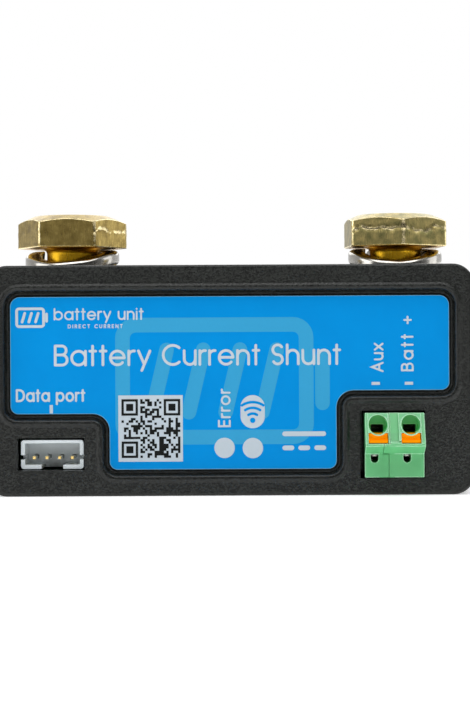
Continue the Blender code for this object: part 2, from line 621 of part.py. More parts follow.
def build():
    clear_scene()
    black = material("black_plastic", (0.022, 0.023, 0.021), 0.55)
    blue = material("blue_film", (0.0, 0.27, 0.72), 0.35)
    brass = material("brass", (0.55, 0.42, 0.16), 0.35, 1.0)
    manganin = material("resistor_alloy", (0.52, 0.36, 0.27), 0.4, 1.0)
    steel = material("stainless_steel", (0.62, 0.6, 0.57), 0.25, 1.0)
    tinned = material("tinned_copper", (0.72, 0.66, 0.62), 0.3, 1.0)
    gold = material("gilt_pin", (0.75, 0.58, 0.25), 0.3, 1.0)
    board_green = material("board_laminate", (0.02, 0.14, 0.05), 0.4)
    chip_black = material("chip_resin", (0.015, 0.015, 0.016), 0.5)
    ivory = material("header_nylon", (0.62, 0.66, 0.66), 0.4)
    green = material("terminal_green", (0.13, 0.47, 0.19), 0.4)
    orange = material("button_orange", (1.0, 0.28, 0.0), 0.4)
    clear = material("light_pipe_resin", (0.8, 0.82, 0.84), 0.1)
    lamp = material("led_resin", (0.85, 0.8, 0.6), 0.2)

    front_cover(black)
    label(blue)
    rear_shell(black)
    base_plate(black)

    for name, side in (("left", -1), ("right", 1)):
        terminal_block(f"terminal_block_{name}", side, brass)
        terminal_bolt(f"terminal_bolt_{name}", side, HEAD_TURNS[name], brass)
        spring_washer(f"spring_washer_{name}", side, WASHER_POSES[name], steel)
        standoff(f"sense_standoff_{name}", side, brass)
        head = (BOARD_FRONT - 2.3, BOARD_FRONT - 0.05)
        pan_screw(f"sense_screw_{name}", "Y", (side * BOLT_X, SENSE_Z), head, 3.4, 1.9, -6.3, steel)
        pan_screw(f"shell_screw_{name}", "Z", (side * 31.0, 17.8), (0.3, 1.9), 2.9, 1.15, 14.0, steel)
        for place_name, y in (("front", -7.8), ("rear", 7.8)):
            pan_screw(f"block_screw_{name}_{place_name}", "Z", (side * BOLT_X, y), (0.4, 3.1),
                      3.8, 2.0, 15.5, steel)
    for number, y in enumerate(STRIP_CENTRES, 1):
        resistor_strip(number, y, manganin)

    circuit_board(board_green)
    data_header(ivory)
    for number, x in enumerate(header_pin_places(), 1):
        header_pin(number, x, gold)
    on_board("wireless_module", (-8.0, 14.0), (8.0, 31.0), MODULE_THICKNESS, board_green, 0.05)
    shield_can(tinned)
    on_board("microcontroller", (10.5, 21.0), (17.5, 28.0), 1.2, chip_black)
    on_board("power_inductor", (-19.5, 12.5), (-13.5, 18.5), 3.0, chip_black, 0.4)
    on_board("fuse", (11.5, 14.0), (17.5, 16.6), 2.2, ivory, 0.15)
    capacitor(tinned)
    for name, x, z in LIGHTS:
        on_board(f"led_{name}", (x - 1.0, z - 0.7), (x + 1.0, z + 0.7), 1.5, lamp)
        light_pipe(name, x, z, clear)

    terminal_modules(green)
    for name, x in POLES.items():
        release_button(name, x, orange)
        clamp_spring(name, x, steel)
        contact_bar(name, x, tinned)


build()
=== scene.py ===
"""Looks of the battery monitor shunt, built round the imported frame.

Meshes are made in millimetres in the frame's own axes (+X right, +Y to the back, +Z up) and scaled to metres
when they become pieces. Every material is procedural, in object coordinates, so that it moves with its piece.
"""

import json
import random
from math import atan2, copysign, cos, degrees, dist, exp, hypot, pi, radians, sin, tan

import bmesh
import bpy
from mathutils import Matrix, Vector, noise
from mathutils.geometry import delaunay_2d_cdt


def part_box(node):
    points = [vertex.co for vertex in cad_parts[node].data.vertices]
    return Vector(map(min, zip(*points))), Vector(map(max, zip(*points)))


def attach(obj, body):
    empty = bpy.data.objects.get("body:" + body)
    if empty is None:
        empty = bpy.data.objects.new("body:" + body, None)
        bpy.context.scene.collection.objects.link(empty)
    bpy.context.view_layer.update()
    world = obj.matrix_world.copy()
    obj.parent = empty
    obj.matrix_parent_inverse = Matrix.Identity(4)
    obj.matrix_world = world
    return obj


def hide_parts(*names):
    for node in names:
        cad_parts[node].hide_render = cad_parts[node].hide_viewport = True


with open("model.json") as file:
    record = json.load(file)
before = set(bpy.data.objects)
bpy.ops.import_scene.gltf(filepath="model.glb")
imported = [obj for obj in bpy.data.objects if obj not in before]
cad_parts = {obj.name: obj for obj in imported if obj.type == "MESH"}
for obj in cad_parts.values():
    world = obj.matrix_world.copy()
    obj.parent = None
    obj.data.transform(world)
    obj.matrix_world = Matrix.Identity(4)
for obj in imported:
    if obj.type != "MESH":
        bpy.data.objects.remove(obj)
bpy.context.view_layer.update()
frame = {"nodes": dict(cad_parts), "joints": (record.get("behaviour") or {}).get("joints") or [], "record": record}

MM = 0.001
FAR = 3.0  # how far a cutter runs past the face that it opens
PIVOTS = {joint["name"]: joint.get("pos_m") for joint in frame["joints"]}


def span(node):
    """The lowest and highest corner of a CAD node, in millimetres."""
    return tuple([c / MM for c in corner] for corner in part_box(node))


# ---- housing
(COVER_LEFT, FRONT, COVER_BOTTOM), (COVER_RIGHT, SEAM_FRONT, COVER_TOP) = span("front_cover")
CORNER = 3.4
WALL = 2.2
FRONT_EDGE = 0.5
LIP_START, LIP_WIDTH = 0.8, 0.55  # the wall round the label: how far outside it starts, and how far it rolls
BEAD, BEAD_END = 0.3, 2.2  # the ridge outside the wall
GROOVE = 0.25
FACE_INSIDE = -24.1
HEADER_OPENING = (-33.4, 4.05, -22.8, 9.15)
TERMINAL_OPENING = (20.3, 2.6, 30.45, 13.2)

# ---- label
(LABEL_LEFT, LABEL_FACE, LABEL_BOTTOM), (LABEL_RIGHT, LABEL_BACK, LABEL_TOP) = span("label")
LEFT_TAB_BOTTOM, RIGHT_TAB_BOTTOM = 12.9, 16.4
LEFT_NOTCH, RIGHT_NOTCH = -18.9, 16.6
RECESS_FLOOR = LABEL_BACK + 0.03
INK = 0.02  # thickness of one printed layer

# ---- bolts and washers
BOLT_X = PIVOTS["right_bolt_turn"][0] / MM
BOLT_TIP, HEAD_TOP = span("terminal_bolt_left")[0][2], span("terminal_bolt_left")[1][2]
HEAD_RADIUS = (span("terminal_bolt_left")[1][0] - span("terminal_bolt_left")[0][0]) / 2
HEAD_BOTTOM = HEAD_TOP - 5.5
HEAD_FLAT_RADIUS, HEAD_DROP = 6.2, 1.35
PAINTED_REFLECTION_VALUE = -1.0  # the value that paints brass a deeper gold, as a painted reflection of the brass round it
THREAD_RADIUS, THREAD_ROOT, SHANK_RADIUS = 4.85, 4.1, 4.3
THREAD_PITCH = 1.5
THREAD_ROWS = 118
UNDERCUT_END = 37.0
HEAD_FILLET = 1.0  # under the head
HEAD_TURNS = {"left": 0.0, "right": -24.3}
HEAD_SEEDS = {"left": 3.3, "right": 8.1}
RIDGES = {"left": {3: 0.3, 4: 0.0, 5: 0.9}, "right": {3: 0.1, 4: 1.0, 5: 0.8}}  # the ridge on each flat, which is raised and gets a painted highlight
BLOCK_TOP = span("terminal_block_left")[1][2]
WASHER_INNER, WASHER_OUTER, WASHER_THICKNESS = 5.4, 7.95, 2.5
WASHER_GAP, WASHER_HELIX = 30.0, 0.1  # degrees left open at the split, and the share of the rise that is even
# For each washer: degrees from +X to its split and to its low side, and how soon it rises from there.
WASHER_POSES = {"left": (143.0, 256.0, 2.2), "right": (142.0, 268.0, 2.4)}

# ---- push-in terminal
POLES = {"aux": 22.98, "battery": 28.06}
FUNNEL_Z, FUNNEL_RADIUS = 11.1, 1.5
(_, LEDGE, _), (_, _, TERMINAL_TOP) = span("terminal_module_battery")
TERMINAL_FACE = -27.2
LEDGE_TOP = 8.25
LEAN = (TERMINAL_FACE - LEDGE) / (TERMINAL_TOP - LEDGE_TOP)  # of the sloped face, towards the back
FUNNEL_FLOOR = -25.2
TERMINAL_SEAM = 24.4
BUTTON_LIP = span("release_button_aux")[0][1] + 0.5
PLATE, PLATE_BOTTOM = 0.3, 8.68  # a module's face: how proud of the channel it is, and where it starts
PLATE_SIDES = {"aux": (21.35, 24.6), "battery": (26.15, 29.7)}

# ---- data header
HEADER_MOUTH = span("data_header")[0][1]
PIN_TIP = span("header_pin_1")[0][1]


# ---------------------------------------------------------------- outlines

def arc(centre, radius, start, end, steps):
    """Points along an arc, in degrees, both ends included."""
    angles = [radians(start + (end - start) * i / steps) for i in range(steps + 1)]
    return [(centre[0] + radius * cos(a), centre[1] + radius * sin(a)) for a in angles]


def circle(centre, radius, steps=48):
    return arc(centre, radius, 0.0, 360.0 - 360.0 / steps, steps - 1)


def rectangle(low, high):
    return [(low[0], low[1]), (high[0], low[1]), (high[0], high[1]), (low[0], high[1])]


def direction(a, b):
    length = hypot(b[0] - a[0], b[1] - a[1])
    return (b[0] - a[0]) / length, (b[1] - a[1]) / length


def rounded(corners, radii, steps=10):
    """An outline through corners, each rounded by its own radius. It handles corners that turn either way."""
    points = []
    for i, corner in enumerate(corners):
        before, after, radius = corners[i - 1], corners[(i + 1) % len(corners)], radii[i]
        if radius <= 0:
            points.append(corner)
            continue
        into = direction(before, corner)
        out = direction(corner, after)
        turn = into[0] * out[1] - into[1] * out[0]
        half = atan2(turn, into[0] * out[0] + into[1] * out[1]) / 2
        reach = radius * tan(abs(half))
        side = copysign(1.0, turn)
        start = (corner[0] - into[0] * reach, corner[1] - into[1] * reach)
        centre = (start[0] - into[1] * radius * side, start[1] + into[0] * radius * side)
        first = degrees(atan2(start[1] - centre[1], start[0] - centre[0]))
        points += arc(centre, radius, first, first + degrees(2 * half), steps)
    return points


def rounded_box(low, high, radius, steps=10):
    return rounded(rectangle(low, high), [radius] * 4, steps)


def stroke(points, width, steps=8):
    """The outline of a line of the given width through points, with round ends and mitred bends."""
    half = width / 2
    points = [point for i, point in enumerate(points) if not i or dist(point, points[i - 1]) > 1e-4]
    sides = ([], [])
    for i, point in enumerate(points):
        before = direction(points[i - 1], point) if i else direction(point, points[1])
        after = direction(point, points[i + 1]) if i + 1 < len(points) else before
        normal = (-(before[1] + after[1]), before[0] + after[0])
        length = hypot(*normal)
        bend = max(0.3, (before[0] * normal[1] / length - before[1] * normal[0] / length))
        for side, sign in zip(sides, (1, -1)):
            side.append((point[0] + sign * half * normal[0] / length / bend,
                         point[1] + sign * half * normal[1] / length / bend))
    start = degrees(atan2(*reversed(direction(points[0], points[1]))))
    end = degrees(atan2(*reversed(direction(points[-2], points[-1]))))
    tail = arc(points[0], half, start + 90.0, start + 270.0, steps)
    head = arc(points[-1], half, end - 90.0, end + 90.0, steps)
    return tail + sides[1][1:-1] + head + sides[0][-2:0:-1]


def slope(z):
    """Where the terminal's sloped face stands along y at a height."""
    return LEDGE + (z - LEDGE_TOP) * LEAN


def label_outline(grow=0.0):
    """The label seen from the front: a rectangle with a notch at each lower corner, grown outwards."""
    corners = [
        (LABEL_LEFT - grow, LEFT_TAB_BOTTOM - grow),
        (LEFT_NOTCH - grow, LEFT_TAB_BOTTOM - grow),
        (LEFT_NOTCH - grow, LABEL_BOTTOM - grow),
        (RIGHT_NOTCH + grow, LABEL_BOTTOM - grow),
        (RIGHT_NOTCH + grow, RIGHT_TAB_BOTTOM - grow),
        (LABEL_RIGHT + grow, RIGHT_TAB_BOTTOM - grow),
        (LABEL_RIGHT + grow, LABEL_TOP + grow),
        (LABEL_LEFT - grow, LABEL_TOP + grow),
    ]
    outer, inner = 1.2 + grow, 2.7 - grow
    return rounded(corners, [outer, inner, outer, outer, inner, outer, outer + 0.3, outer + 0.3], 9)


# ---------------------------------------------------------------- meshes

def place(axis, point, along):
    """An outline point and a position along axis, as x, y, z. X takes (y, z), Y (x, z) and Z (x, y)."""
    a, b = point
    return {"X": (along, a, b), "Y": (a, along, b), "Z": (a, b, along)}[axis]


def loft(axis, rings):
    """A closed mesh through rings, each (outline, position along axis), with flat ends."""
    return stack([[place(axis, point, along) for point in outline] for outline, along in rings])


def stack(rings, closed=False):
    """A closed mesh through rings of points, with flat ends, or with its ends joined where closed is set."""
    mesh = bmesh.new()
    loops = [[mesh.verts.new(point) for point in ring] for ring in rings]
    count = len(loops[0])
    for lower, upper in zip(loops, loops[1:] + loops[:1] if closed else loops[1:]):
        for i in range(count):
            j = (i + 1) % count
            mesh.faces.new((lower[i], lower[j], upper[j], upper[i]))
    if not closed:
        mesh.faces.new(loops[0][::-1])
        mesh.faces.new(loops[-1])
    bmesh.ops.recalc_face_normals(mesh, faces=mesh.faces)
    return mesh


def prism(axis, outline, start, end):
    return loft(axis, [(outline, start), (outline, end)])


def box(low, high):
    return prism("Z", rectangle(low[:2], high[:2]), low[2], high[2])


def add(name, data):
    made = bpy.data.objects.new(name, data)
    bpy.context.scene.collection.objects.link(made)
    return made


def add_mesh(name, mesh):
    data = bpy.data.meshes.new(name)
    mesh.to_mesh(data)
    mesh.free()
    return add(name, data)


def carve(mesh, operation, *tools):
    """The mesh with each tool cut from it, joined to it or intersected with it."""
    target = add_mesh("target", mesh)
    helpers = [add_mesh("tool", tool) for tool in tools]
    for helper in helpers:
        modifier = target.modifiers.new("carve", "BOOLEAN")
        modifier.operation = operation
        modifier.solver = "EXACT"
        modifier.object = helper
    bpy.context.view_layer.update()
    data = bpy.data.meshes.new_from_object(target.evaluated_get(bpy.context.evaluated_depsgraph_get()))
    result = bmesh.new()
    result.from_mesh(data)
    bpy.data.meshes.remove(data)
    for made in (target, *helpers):
        scrap = made.data
        bpy.data.objects.remove(made)
        bpy.data.meshes.remove(scrap)
    bmesh.ops.remove_doubles(result, verts=result.verts, dist=1e-4)
    return result


def cut(mesh, *tools):
    return carve(mesh, "DIFFERENCE", *tools)


# ---------------------------------------------------------------- pieces

def piece(name, mesh, finish, body, stands_for=(), sharp=30.0, edge=None):
    """Makes a shown piece of a mesh in millimetres. It rides on a body and stands for the CAD nodes named."""
    bmesh.ops.scale(mesh, vec=(MM, MM, MM), verts=mesh.verts)
    made = add_mesh(name, mesh)
    made.data.materials.append(finish)
    made.data.shade_smooth()
    made.data.set_sharp_from_angle(angle=radians(sharp))
    if edge:
        soften(made, edge)
    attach(made, body)
    if stands_for:
        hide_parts(*stands_for)
    return made


def flatten(made):
    """Keeps the flat faces of an object flat in the shading."""
    normals = made.modifiers.new("normals", "WEIGHTED_NORMAL")
    normals.keep_sharp = True
    normals.weight = 100


def soften(made, width):
    """Rounds the sharp edges of an object by modifiers."""
    weld = made.modifiers.new("weld", "WELD")
    weld.merge_threshold = 1e-7
    flat = made.modifiers.new("flat", "DECIMATE")
    flat.decimate_type = "DISSOLVE"
    flat.angle_limit = radians(0.4)
    bevel = made.modifiers.new("edges", "BEVEL")
    bevel.width = width * MM
    bevel.segments = 2
    bevel.limit_method = "ANGLE"
    bevel.angle_limit = radians(32.0)
    bevel.miter_outer = "MITER_ARC"
    bevel.use_clamp_overlap = True
    flatten(made)


# ---------------------------------------------------------------- materials

class Nodes:
    """A node tree being built: short calls add nodes to it and return their output sockets."""

    def __init__(self, tree):
        self.tree = tree

    def feed(self, socket, value):
        if isinstance(value, bpy.types.NodeSocket):
            self.tree.links.new(value, socket)
        elif isinstance(value, tuple) and len(value) == 3 and socket.type == "RGBA":
            socket.default_value = (*value, 1.0)
        else:
            socket.default_value = value

    def node(self, kind, inputs=(), **settings):
        made = self.tree.nodes.new("ShaderNode" + kind)
        for key, value in settings.items():
            setattr(made, key, value)
        for key, value in dict(inputs).items():
            self.feed(made.inputs[key], value)
        return made

    def levels(self, value, low, high, to_low=0.0, to_high=1.0):
        """Maps the range low to high onto to_low to to_high, and clamps it."""
        made = self.node("MapRange", {
            "Value": value, "From Min": low, "From Max": high, "To Min": to_low, "To Max": to_high})
        return made.outputs["Result"]

    def maths(self, operation, a, b=0.0):
        return self.node("Math", {0: a, 1: b}, operation=operation).outputs[0]

    def mix(self, factor, a, b):
        made = self.node("Mix", data_type="RGBA")
        for socket, value in ((made.inputs[0], factor), (made.inputs[6], a), (made.inputs[7], b)):
            self.feed(socket, value)
        return made.outputs[2]

    def ramp(self, value, stops):
        made = self.node("ValToRGB", {"Fac": value})
        band = made.color_ramp
        while len(band.elements) < len(stops):
            band.elements.new(1.0)
        for element, (position, colour) in zip(band.elements, stops):
            element.position = position
            element.color = (*colour, 1.0)
        return made.outputs["Color"]


class Finish(Nodes):
    """A material being built in object coordinates."""

    def __init__(self, name, colour, roughness, metallic=0.0, **sockets):
        self.material = bpy.data.materials.new(name)
        self.material.use_nodes = True
        super().__init__(self.material.node_tree)
        self.shader = self.tree.nodes["Principled BSDF"]
        self.where = self.node("TexCoord").outputs["Object"]
        self.set("Base Color", colour)
        self.set("Roughness", roughness)
        self.set("Metallic", metallic)
        for socket, value in sockets.items():
            self.set(socket.replace("_", " "), value)

    def set(self, socket, value):
        self.feed(self.shader.inputs[socket], value)

    def scaled(self, size, stretch=(1.0, 1.0, 1.0)):
        """Coordinates that count in steps of size millimetres, made longer along an axis by its stretch."""
        scale = tuple(1.0 / (size * MM * s) for s in stretch)
        return self.node("Mapping", {"Vector": self.where, "Scale": scale}).outputs["Vector"]

    def noise(self, size, detail=3.0, roughness=0.55, stretch=(1.0, 1.0, 1.0)):
        """Noise whose grains are about size millimetres across."""
        vector = self.scaled(size, stretch)
        inputs = {"Vector": vector, "Scale": 1.0, "Detail": detail, "Roughness": roughness}
        return self.node("TexNoise", inputs).outputs["Fac"]

    def cells(self, size, feature="F1", randomness=1.0):
        inputs = {"Vector": self.scaled(size), "Scale": 1.0, "Randomness": randomness}
        return self.node("TexVoronoi", inputs, feature=feature).outputs["Distance"]

    def spread(self, noise_value, to_low=0.0, to_high=1.0):
        """Maps the range in which most of a noise lies onto to_low to to_high."""
        return self.levels(noise_value, 0.3, 0.7, to_low, to_high)

    def along(self, axis):
        return self.node("SeparateXYZ", {"Vector": self.where}).outputs[axis]

    def fade(self, place_at, start, end, to_start=0.0, to_end=1.0):
        """Goes from to_start to to_end between two places along an axis, in millimetres."""
        return self.levels(place_at, start * MM, end * MM, to_start, to_end)

    def painted_edge_highlights(self, colour, edge, radius, where):
        """The colour, turned to the edge's colour as a painted highlight where the surface bends within a radius
        in millimetres.
        """
        rounded_off = self.node("Bevel", {"Radius": radius * MM}, samples=4).outputs["Normal"]
        straight = self.node("NewGeometry").outputs["Normal"]
        along = self.node("VectorMath", {0: rounded_off, 1: straight}, operation="DOT_PRODUCT")
        bent = self.levels(along.outputs["Value"], 0.998, 0.92)
        return self.mix(self.maths("MULTIPLY", bent, where), colour, edge)

    def painted_front_light(self, front, reach, strength):
        """Paints light by emission on a face at y = front, in place of the light its deep opening keeps out, and
        fades it behind it.
        """
        self.set("Emission Strength", self.fade(self.along("Y"), front, front + reach, strength, 0.0))

    def bump(self, *layers):
        """Stacks bumps, each (height socket, depth in millimetres, strength)."""
        normal = None
        for height, depth, strength in layers:
            inputs = {"Height": height, "Distance": depth * MM, "Strength": strength}
            if normal:
                inputs["Normal"] = normal
            normal = self.node("Bump", inputs).outputs["Normal"]
        self.set("Normal", normal)
        return self.material


def black_plastic():
    """Spark-eroded black moulding: a fine sparkling grain, with faint uneven sheen over larger patches."""
    finish = Finish("black_plastic", (0.012, 0.013, 0.011), 0.42, Specular_IOR_Level=0.36)
    grain = finish.levels(finish.noise(0.3, 2.0, 0.65), 0.4, 0.6)
    patches = finish.noise(9.0, 3.0)
    shade = finish.ramp(patches, [(0.3, (0.020, 0.0225, 0.0195)), (0.7, (0.027, 0.0295, 0.0265))])
    finish.set("Base Color", finish.mix(grain, (0.001, 0.0015, 0.001), shade))
    finish.set("Roughness", finish.levels(grain, 0.0, 1.0, 0.36, 0.24))
    return finish.bump((grain, 0.04, 0.6))


def blue_film():
    """Printed polyester film: an even blue with the faintest mottling and a slight orange peel."""
    finish = Finish("blue_film", (0.0, 0.29, 0.75), 0.38, Specular_IOR_Level=0.06)
    tone = finish.ramp(finish.noise(6.0, 4.0), [(0.3, (0.0, 0.282, 0.74)), (0.7, (0.0, 0.30, 0.77))])
    finish.set("Base Color", tone)
    finish.set("Roughness", finish.spread(finish.noise(1.2, 4.0), 0.34, 0.44))
    return finish.bump((finish.noise(0.5, 2.0), 0.004, 0.25))


def ink(name, colour, spread):
    """Screen-printed ink, a little uneven in its cover."""
    finish = Finish(name, colour, 0.42, Specular_IOR_Level=0.08)
    thin = tuple(c * (1.0 - spread) for c in colour)
    finish.set("Base Color", finish.mix(finish.noise(0.35, 3.0), thin, colour))
    finish.set("Roughness", finish.spread(finish.noise(0.8, 3.0), 0.36, 0.5))
    return finish.bump((finish.noise(0.2, 2.0), 0.003, 0.2))


def brass(name, dark, bright, worn):
    """Brass with machining lines, dull patches, bright worn edges, painted ridge highlights and a painted golden
    reflection.
    """
    finish = Finish(name, bright, 0.35, 1.0)
    streaks = finish.noise(0.14, 3.0, 0.6, (1.0, 1.0, 14.0))
    patches = finish.noise(1.6, 5.0, 0.6)
    spots = finish.noise(0.25, 3.0, 0.6)
    mottled = finish.mix(finish.levels(patches, 0.35, 0.65), dark, bright)
    lined = finish.mix(finish.levels(streaks, 0.35, 0.7, 0.0, 0.55), mottled, tuple(c * 0.62 for c in dark))
    rubbing_and_painted_light = finish.node("Attribute", attribute_name="rubbing_and_painted_light").outputs["Fac"]
    # A value below zero paints the brass a deeper gold: a painted reflection of the brass round it.
    painted_reflection = finish.levels(rubbing_and_painted_light, -0.8, -0.2, 1.0, 0.0)
    # Above zero it is real rubbing on corners and edges, and on the ridges also a painted highlight. The worn
    # colour paints both.
    rubbed_and_painted_highlight = finish.levels(finish.maths("ADD", rubbing_and_painted_light, finish.spread(spots, -0.3, 0.3)), 0.35, 0.75)
    finish.set("Base Color", finish.mix(painted_reflection, finish.mix(rubbed_and_painted_highlight, lined, worn), (0.66, 0.38, 0.018)))
    finish.set("Roughness", finish.levels(rubbed_and_painted_highlight, 0.0, 1.0, finish.spread(streaks, 0.24, 0.4), 0.24))
    return finish.bump((streaks, 0.02, 0.45), (patches, 0.03, 0.3), (spots, 0.008, 0.4))


def polished_steel(name, colour, roughness):
    """Bright steel with fine scratches and a few duller smears."""
    finish = Finish(name, colour, roughness, 1.0)
    lines = finish.noise(0.06, 3.0, 0.6, (9.0, 9.0, 1.0))
    smears = finish.noise(2.2, 4.0)
    dull = tuple(c * 0.8 for c in colour)
    finish.set("Base Color", finish.mix(finish.levels(smears, 0.35, 0.7), colour, dull))
    finish.set("Roughness", finish.spread(lines, roughness * 0.7, roughness * 1.9))
    return finish.bump((lines, 0.004, 0.25), (smears, 0.01, 0.2))


def moulded(name, colour, shade, roughness=0.4, grain=0.12, painted_front_light=None, **sockets):
    """A coloured moulding with a fine grain and slightly uneven colour, and light painted on by emission at its
    front where that is given.
    """
    finish = Finish(name, colour, roughness, **sockets)
    fine = finish.noise(grain, 2.0)
    wide = finish.noise(2.5, 3.0)
    finish.set("Base Color", finish.mix(finish.spread(wide), shade, colour))
    finish.set("Roughness", finish.spread(fine, roughness * 0.85, roughness * 1.2))
    if painted_front_light:
        finish.painted_front_light(*painted_front_light)
    return finish.bump((fine, 0.012, 0.35))


def terminal_plastic():
    """Green terminal plastic, with painted highlights along its edges and painted light by emission inside the
    wire funnels.
    """
    finish = Finish("terminal_green", (0.16, 0.58, 0.24), 0.3, Specular_IOR_Level=0.4,
                    Emission_Color=(0.05, 0.72, 0.15))
    fine = finish.noise(0.12, 2.0)
    tone = finish.mix(finish.spread(finish.noise(2.5, 3.0)), (0.14, 0.53, 0.215), (0.165, 0.58, 0.24))
    finish.set("Roughness", finish.spread(fine, 0.26, 0.36))
    y, z = finish.along("Y"), finish.along("Z")
    # Painted edge highlights, kept off the seam between the modules below the ledge's top.
    from_seam = finish.maths("ABSOLUTE", finish.maths("SUBTRACT", finish.along("X"), TERMINAL_SEAM * MM))
    off_seam = finish.maths("MAXIMUM", finish.fade(from_seam, 1.1, 1.3),
                            finish.fade(z, LEDGE_TOP - 0.5, LEDGE_TOP - 0.3))
    finish.set("Base Color", finish.painted_edge_highlights(tone, (0.58, 0.93, 0.66), 0.26, off_seam))
    # Painted light by emission inside the wire funnels, behind the sloped face.
    behind = finish.maths("SUBTRACT", y, finish.maths("MULTIPLY", z, LEAN))
    funnel_bottom, funnel_top = FUNNEL_Z - FUNNEL_RADIUS, FUNNEL_Z + FUNNEL_RADIUS
    painted_funnel_light = finish.fade(behind, slope(0.0) + 0.25, slope(0.0) + 1.0, 0.0, 0.16)
    for limit in (finish.fade(z, funnel_bottom, funnel_bottom + 0.3),
                  finish.fade(z, funnel_top - 0.02, funnel_top + 0.05, 1.0, 0.0),
                  finish.fade(y, FUNNEL_FLOOR - 0.2, FUNNEL_FLOOR + 0.1, 1.0, 0.0)):
        painted_funnel_light = finish.maths("MULTIPLY", painted_funnel_light, limit)
    finish.set("Emission Strength", painted_funnel_light)
    return finish.bump((fine, 0.012, 0.35))


def resistor_alloy():
    """Rolled copper-manganese strip, with rolling lines along its length and heat tint."""
    finish = Finish("resistor_alloy", (0.52, 0.33, 0.22), 0.36, 1.0)
    lines = finish.noise(0.1, 3.0, 0.6, (30.0, 1.0, 1.0))
    tints = [(0.3, (0.36, 0.22, 0.14)), (0.55, (0.52, 0.33, 0.22)), (0.75, (0.58, 0.40, 0.30))]
    finish.set("Base Color", finish.ramp(finish.noise(5.0, 4.0), tints))
    finish.set("Roughness", finish.spread(lines, 0.26, 0.46))
    return finish.bump((lines, 0.01, 0.4))


def board_laminate():
    """Green solder mask over copper: tracks show as slightly lighter, slightly raised bands."""
    finish = Finish("board_laminate", (0.01, 0.12, 0.045), 0.35, Coat_Weight=0.3)
    tracks = finish.levels(finish.cells(1.6, "DISTANCE_TO_EDGE", 0.4), 0.06, 0.1)
    weave = finish.noise(0.3, 2.0)
    tone = finish.mix(tracks, (0.012, 0.15, 0.055), (0.006, 0.075, 0.03))
    finish.set("Base Color", finish.mix(finish.spread(weave, 0.0, 0.3), tone, (0.02, 0.16, 0.06)))
    finish.set("Roughness", finish.spread(weave, 0.28, 0.42))
    return finish.bump((finish.maths("SUBTRACT", 1.0, tracks), 0.03, 0.6))


def tinned_metal():
    """Tin plate with a soft crystalline mottle."""
    finish = Finish("tinned_metal", (0.7, 0.68, 0.64), 0.32, 1.0)
    grain = finish.cells(0.5)
    finish.set("Base Color", finish.ramp(grain, [(0.1, (0.56, 0.54, 0.5)), (0.8, (0.76, 0.74, 0.7))]))
    finish.set("Roughness", finish.spread(finish.noise(0.4, 3.0), 0.24, 0.44))
    return finish.bump((grain, 0.006, 0.3))


def chip_resin():
    finish = Finish("chip_resin", (0.018, 0.018, 0.02), 0.55)
    fine = finish.noise(0.08, 2.0)
    finish.set("Base Color", finish.mix(fine, (0.012, 0.012, 0.013), (0.03, 0.03, 0.032)))
    finish.set("Roughness", finish.spread(fine, 0.45, 0.7))
    return finish.bump((fine, 0.01, 0.5))


def gilt():
    """Polished pin metal with a gilded tip, given painted light by emission at the tip."""
    finish = Finish("gilt_pin", (0.9, 0.68, 0.28), 0.24, 1.0, Emission_Color=(1.0, 0.72, 0.25))
    fine = finish.noise(0.15, 3.0)
    gold = finish.mix(fine, (0.85, 0.60, 0.22), (0.95, 0.74, 0.34))
    behind = finish.fade(finish.along("Y"), PIN_TIP + 0.35, PIN_TIP + 0.6)
    finish.set("Base Color", finish.mix(behind, gold, (0.56, 0.57, 0.52)))
    finish.set("Roughness", finish.spread(fine, 0.1, 0.26))
    finish.painted_front_light(PIN_TIP + 0.25, 0.25, 0.6)
    return finish.bump((fine, 0.004, 0.3))


def floor_material():
    finish = Finish("floor", (0.86, 0.86, 0.86), 0.8, Emission_Color=(1.0, 1.0, 1.0), Emission_Strength=0.45)
    # The floor glows by emission, more so away from the object: painted light that keeps the far floor white.
    away = finish.node("VectorMath", {0: finish.where}, operation="LENGTH").outputs["Value"]
    finish.set("Emission Strength", finish.levels(away, 0.12, 0.5, 0.45, 0.8))
    tone = finish.noise(60.0, 2.0)
    finish.set("Base Color", finish.mix(tone, (0.85, 0.85, 0.85), (0.87, 0.87, 0.87)))
    return finish.material


BLACK = black_plastic()
BLUE = blue_film()
PRINT = ink("pale_ink", (0.60, 0.68, 0.74), 0.06)
WATERMARK = ink("watermark_ink", (0.045, 0.39, 0.70), 0.05)
DARK_PRINT = ink("dark_ink", (0.012, 0.014, 0.013), 0.2)
LABEL_EDGE = ink("film_edge", (0.16, 0.47, 0.72), 0.1)
BOLT_BRASS = {
    "left": brass("brass_bolt", (0.28, 0.20, 0.058), (0.55, 0.41, 0.13), (0.95, 0.80, 0.45)),
    "right": brass("tarnished_brass_bolt", (0.25, 0.23, 0.09), (0.62, 0.49, 0.19), (0.95, 0.80, 0.45)),
}
BLOCK_BRASS = brass("brass_block", (0.57, 0.42, 0.13), (0.68, 0.51, 0.18), (0.88, 0.72, 0.36))
STEEL = polished_steel("polished_steel", (0.56, 0.54, 0.50), 0.15)
SCREW_STEEL = polished_steel("screw_steel", (0.66, 0.65, 0.63), 0.24)
GREEN = terminal_plastic()
# The buttons get painted light by emission on their lip.
ORANGE = moulded("button_orange", (1.0, 0.35, 0.0), (1.0, 0.30, 0.0), 0.34, painted_front_light=(BUTTON_LIP, 0.5, 0.5),
                 Specular_IOR_Level=0.05, Emission_Color=(1.0, 0.22, 0.0))
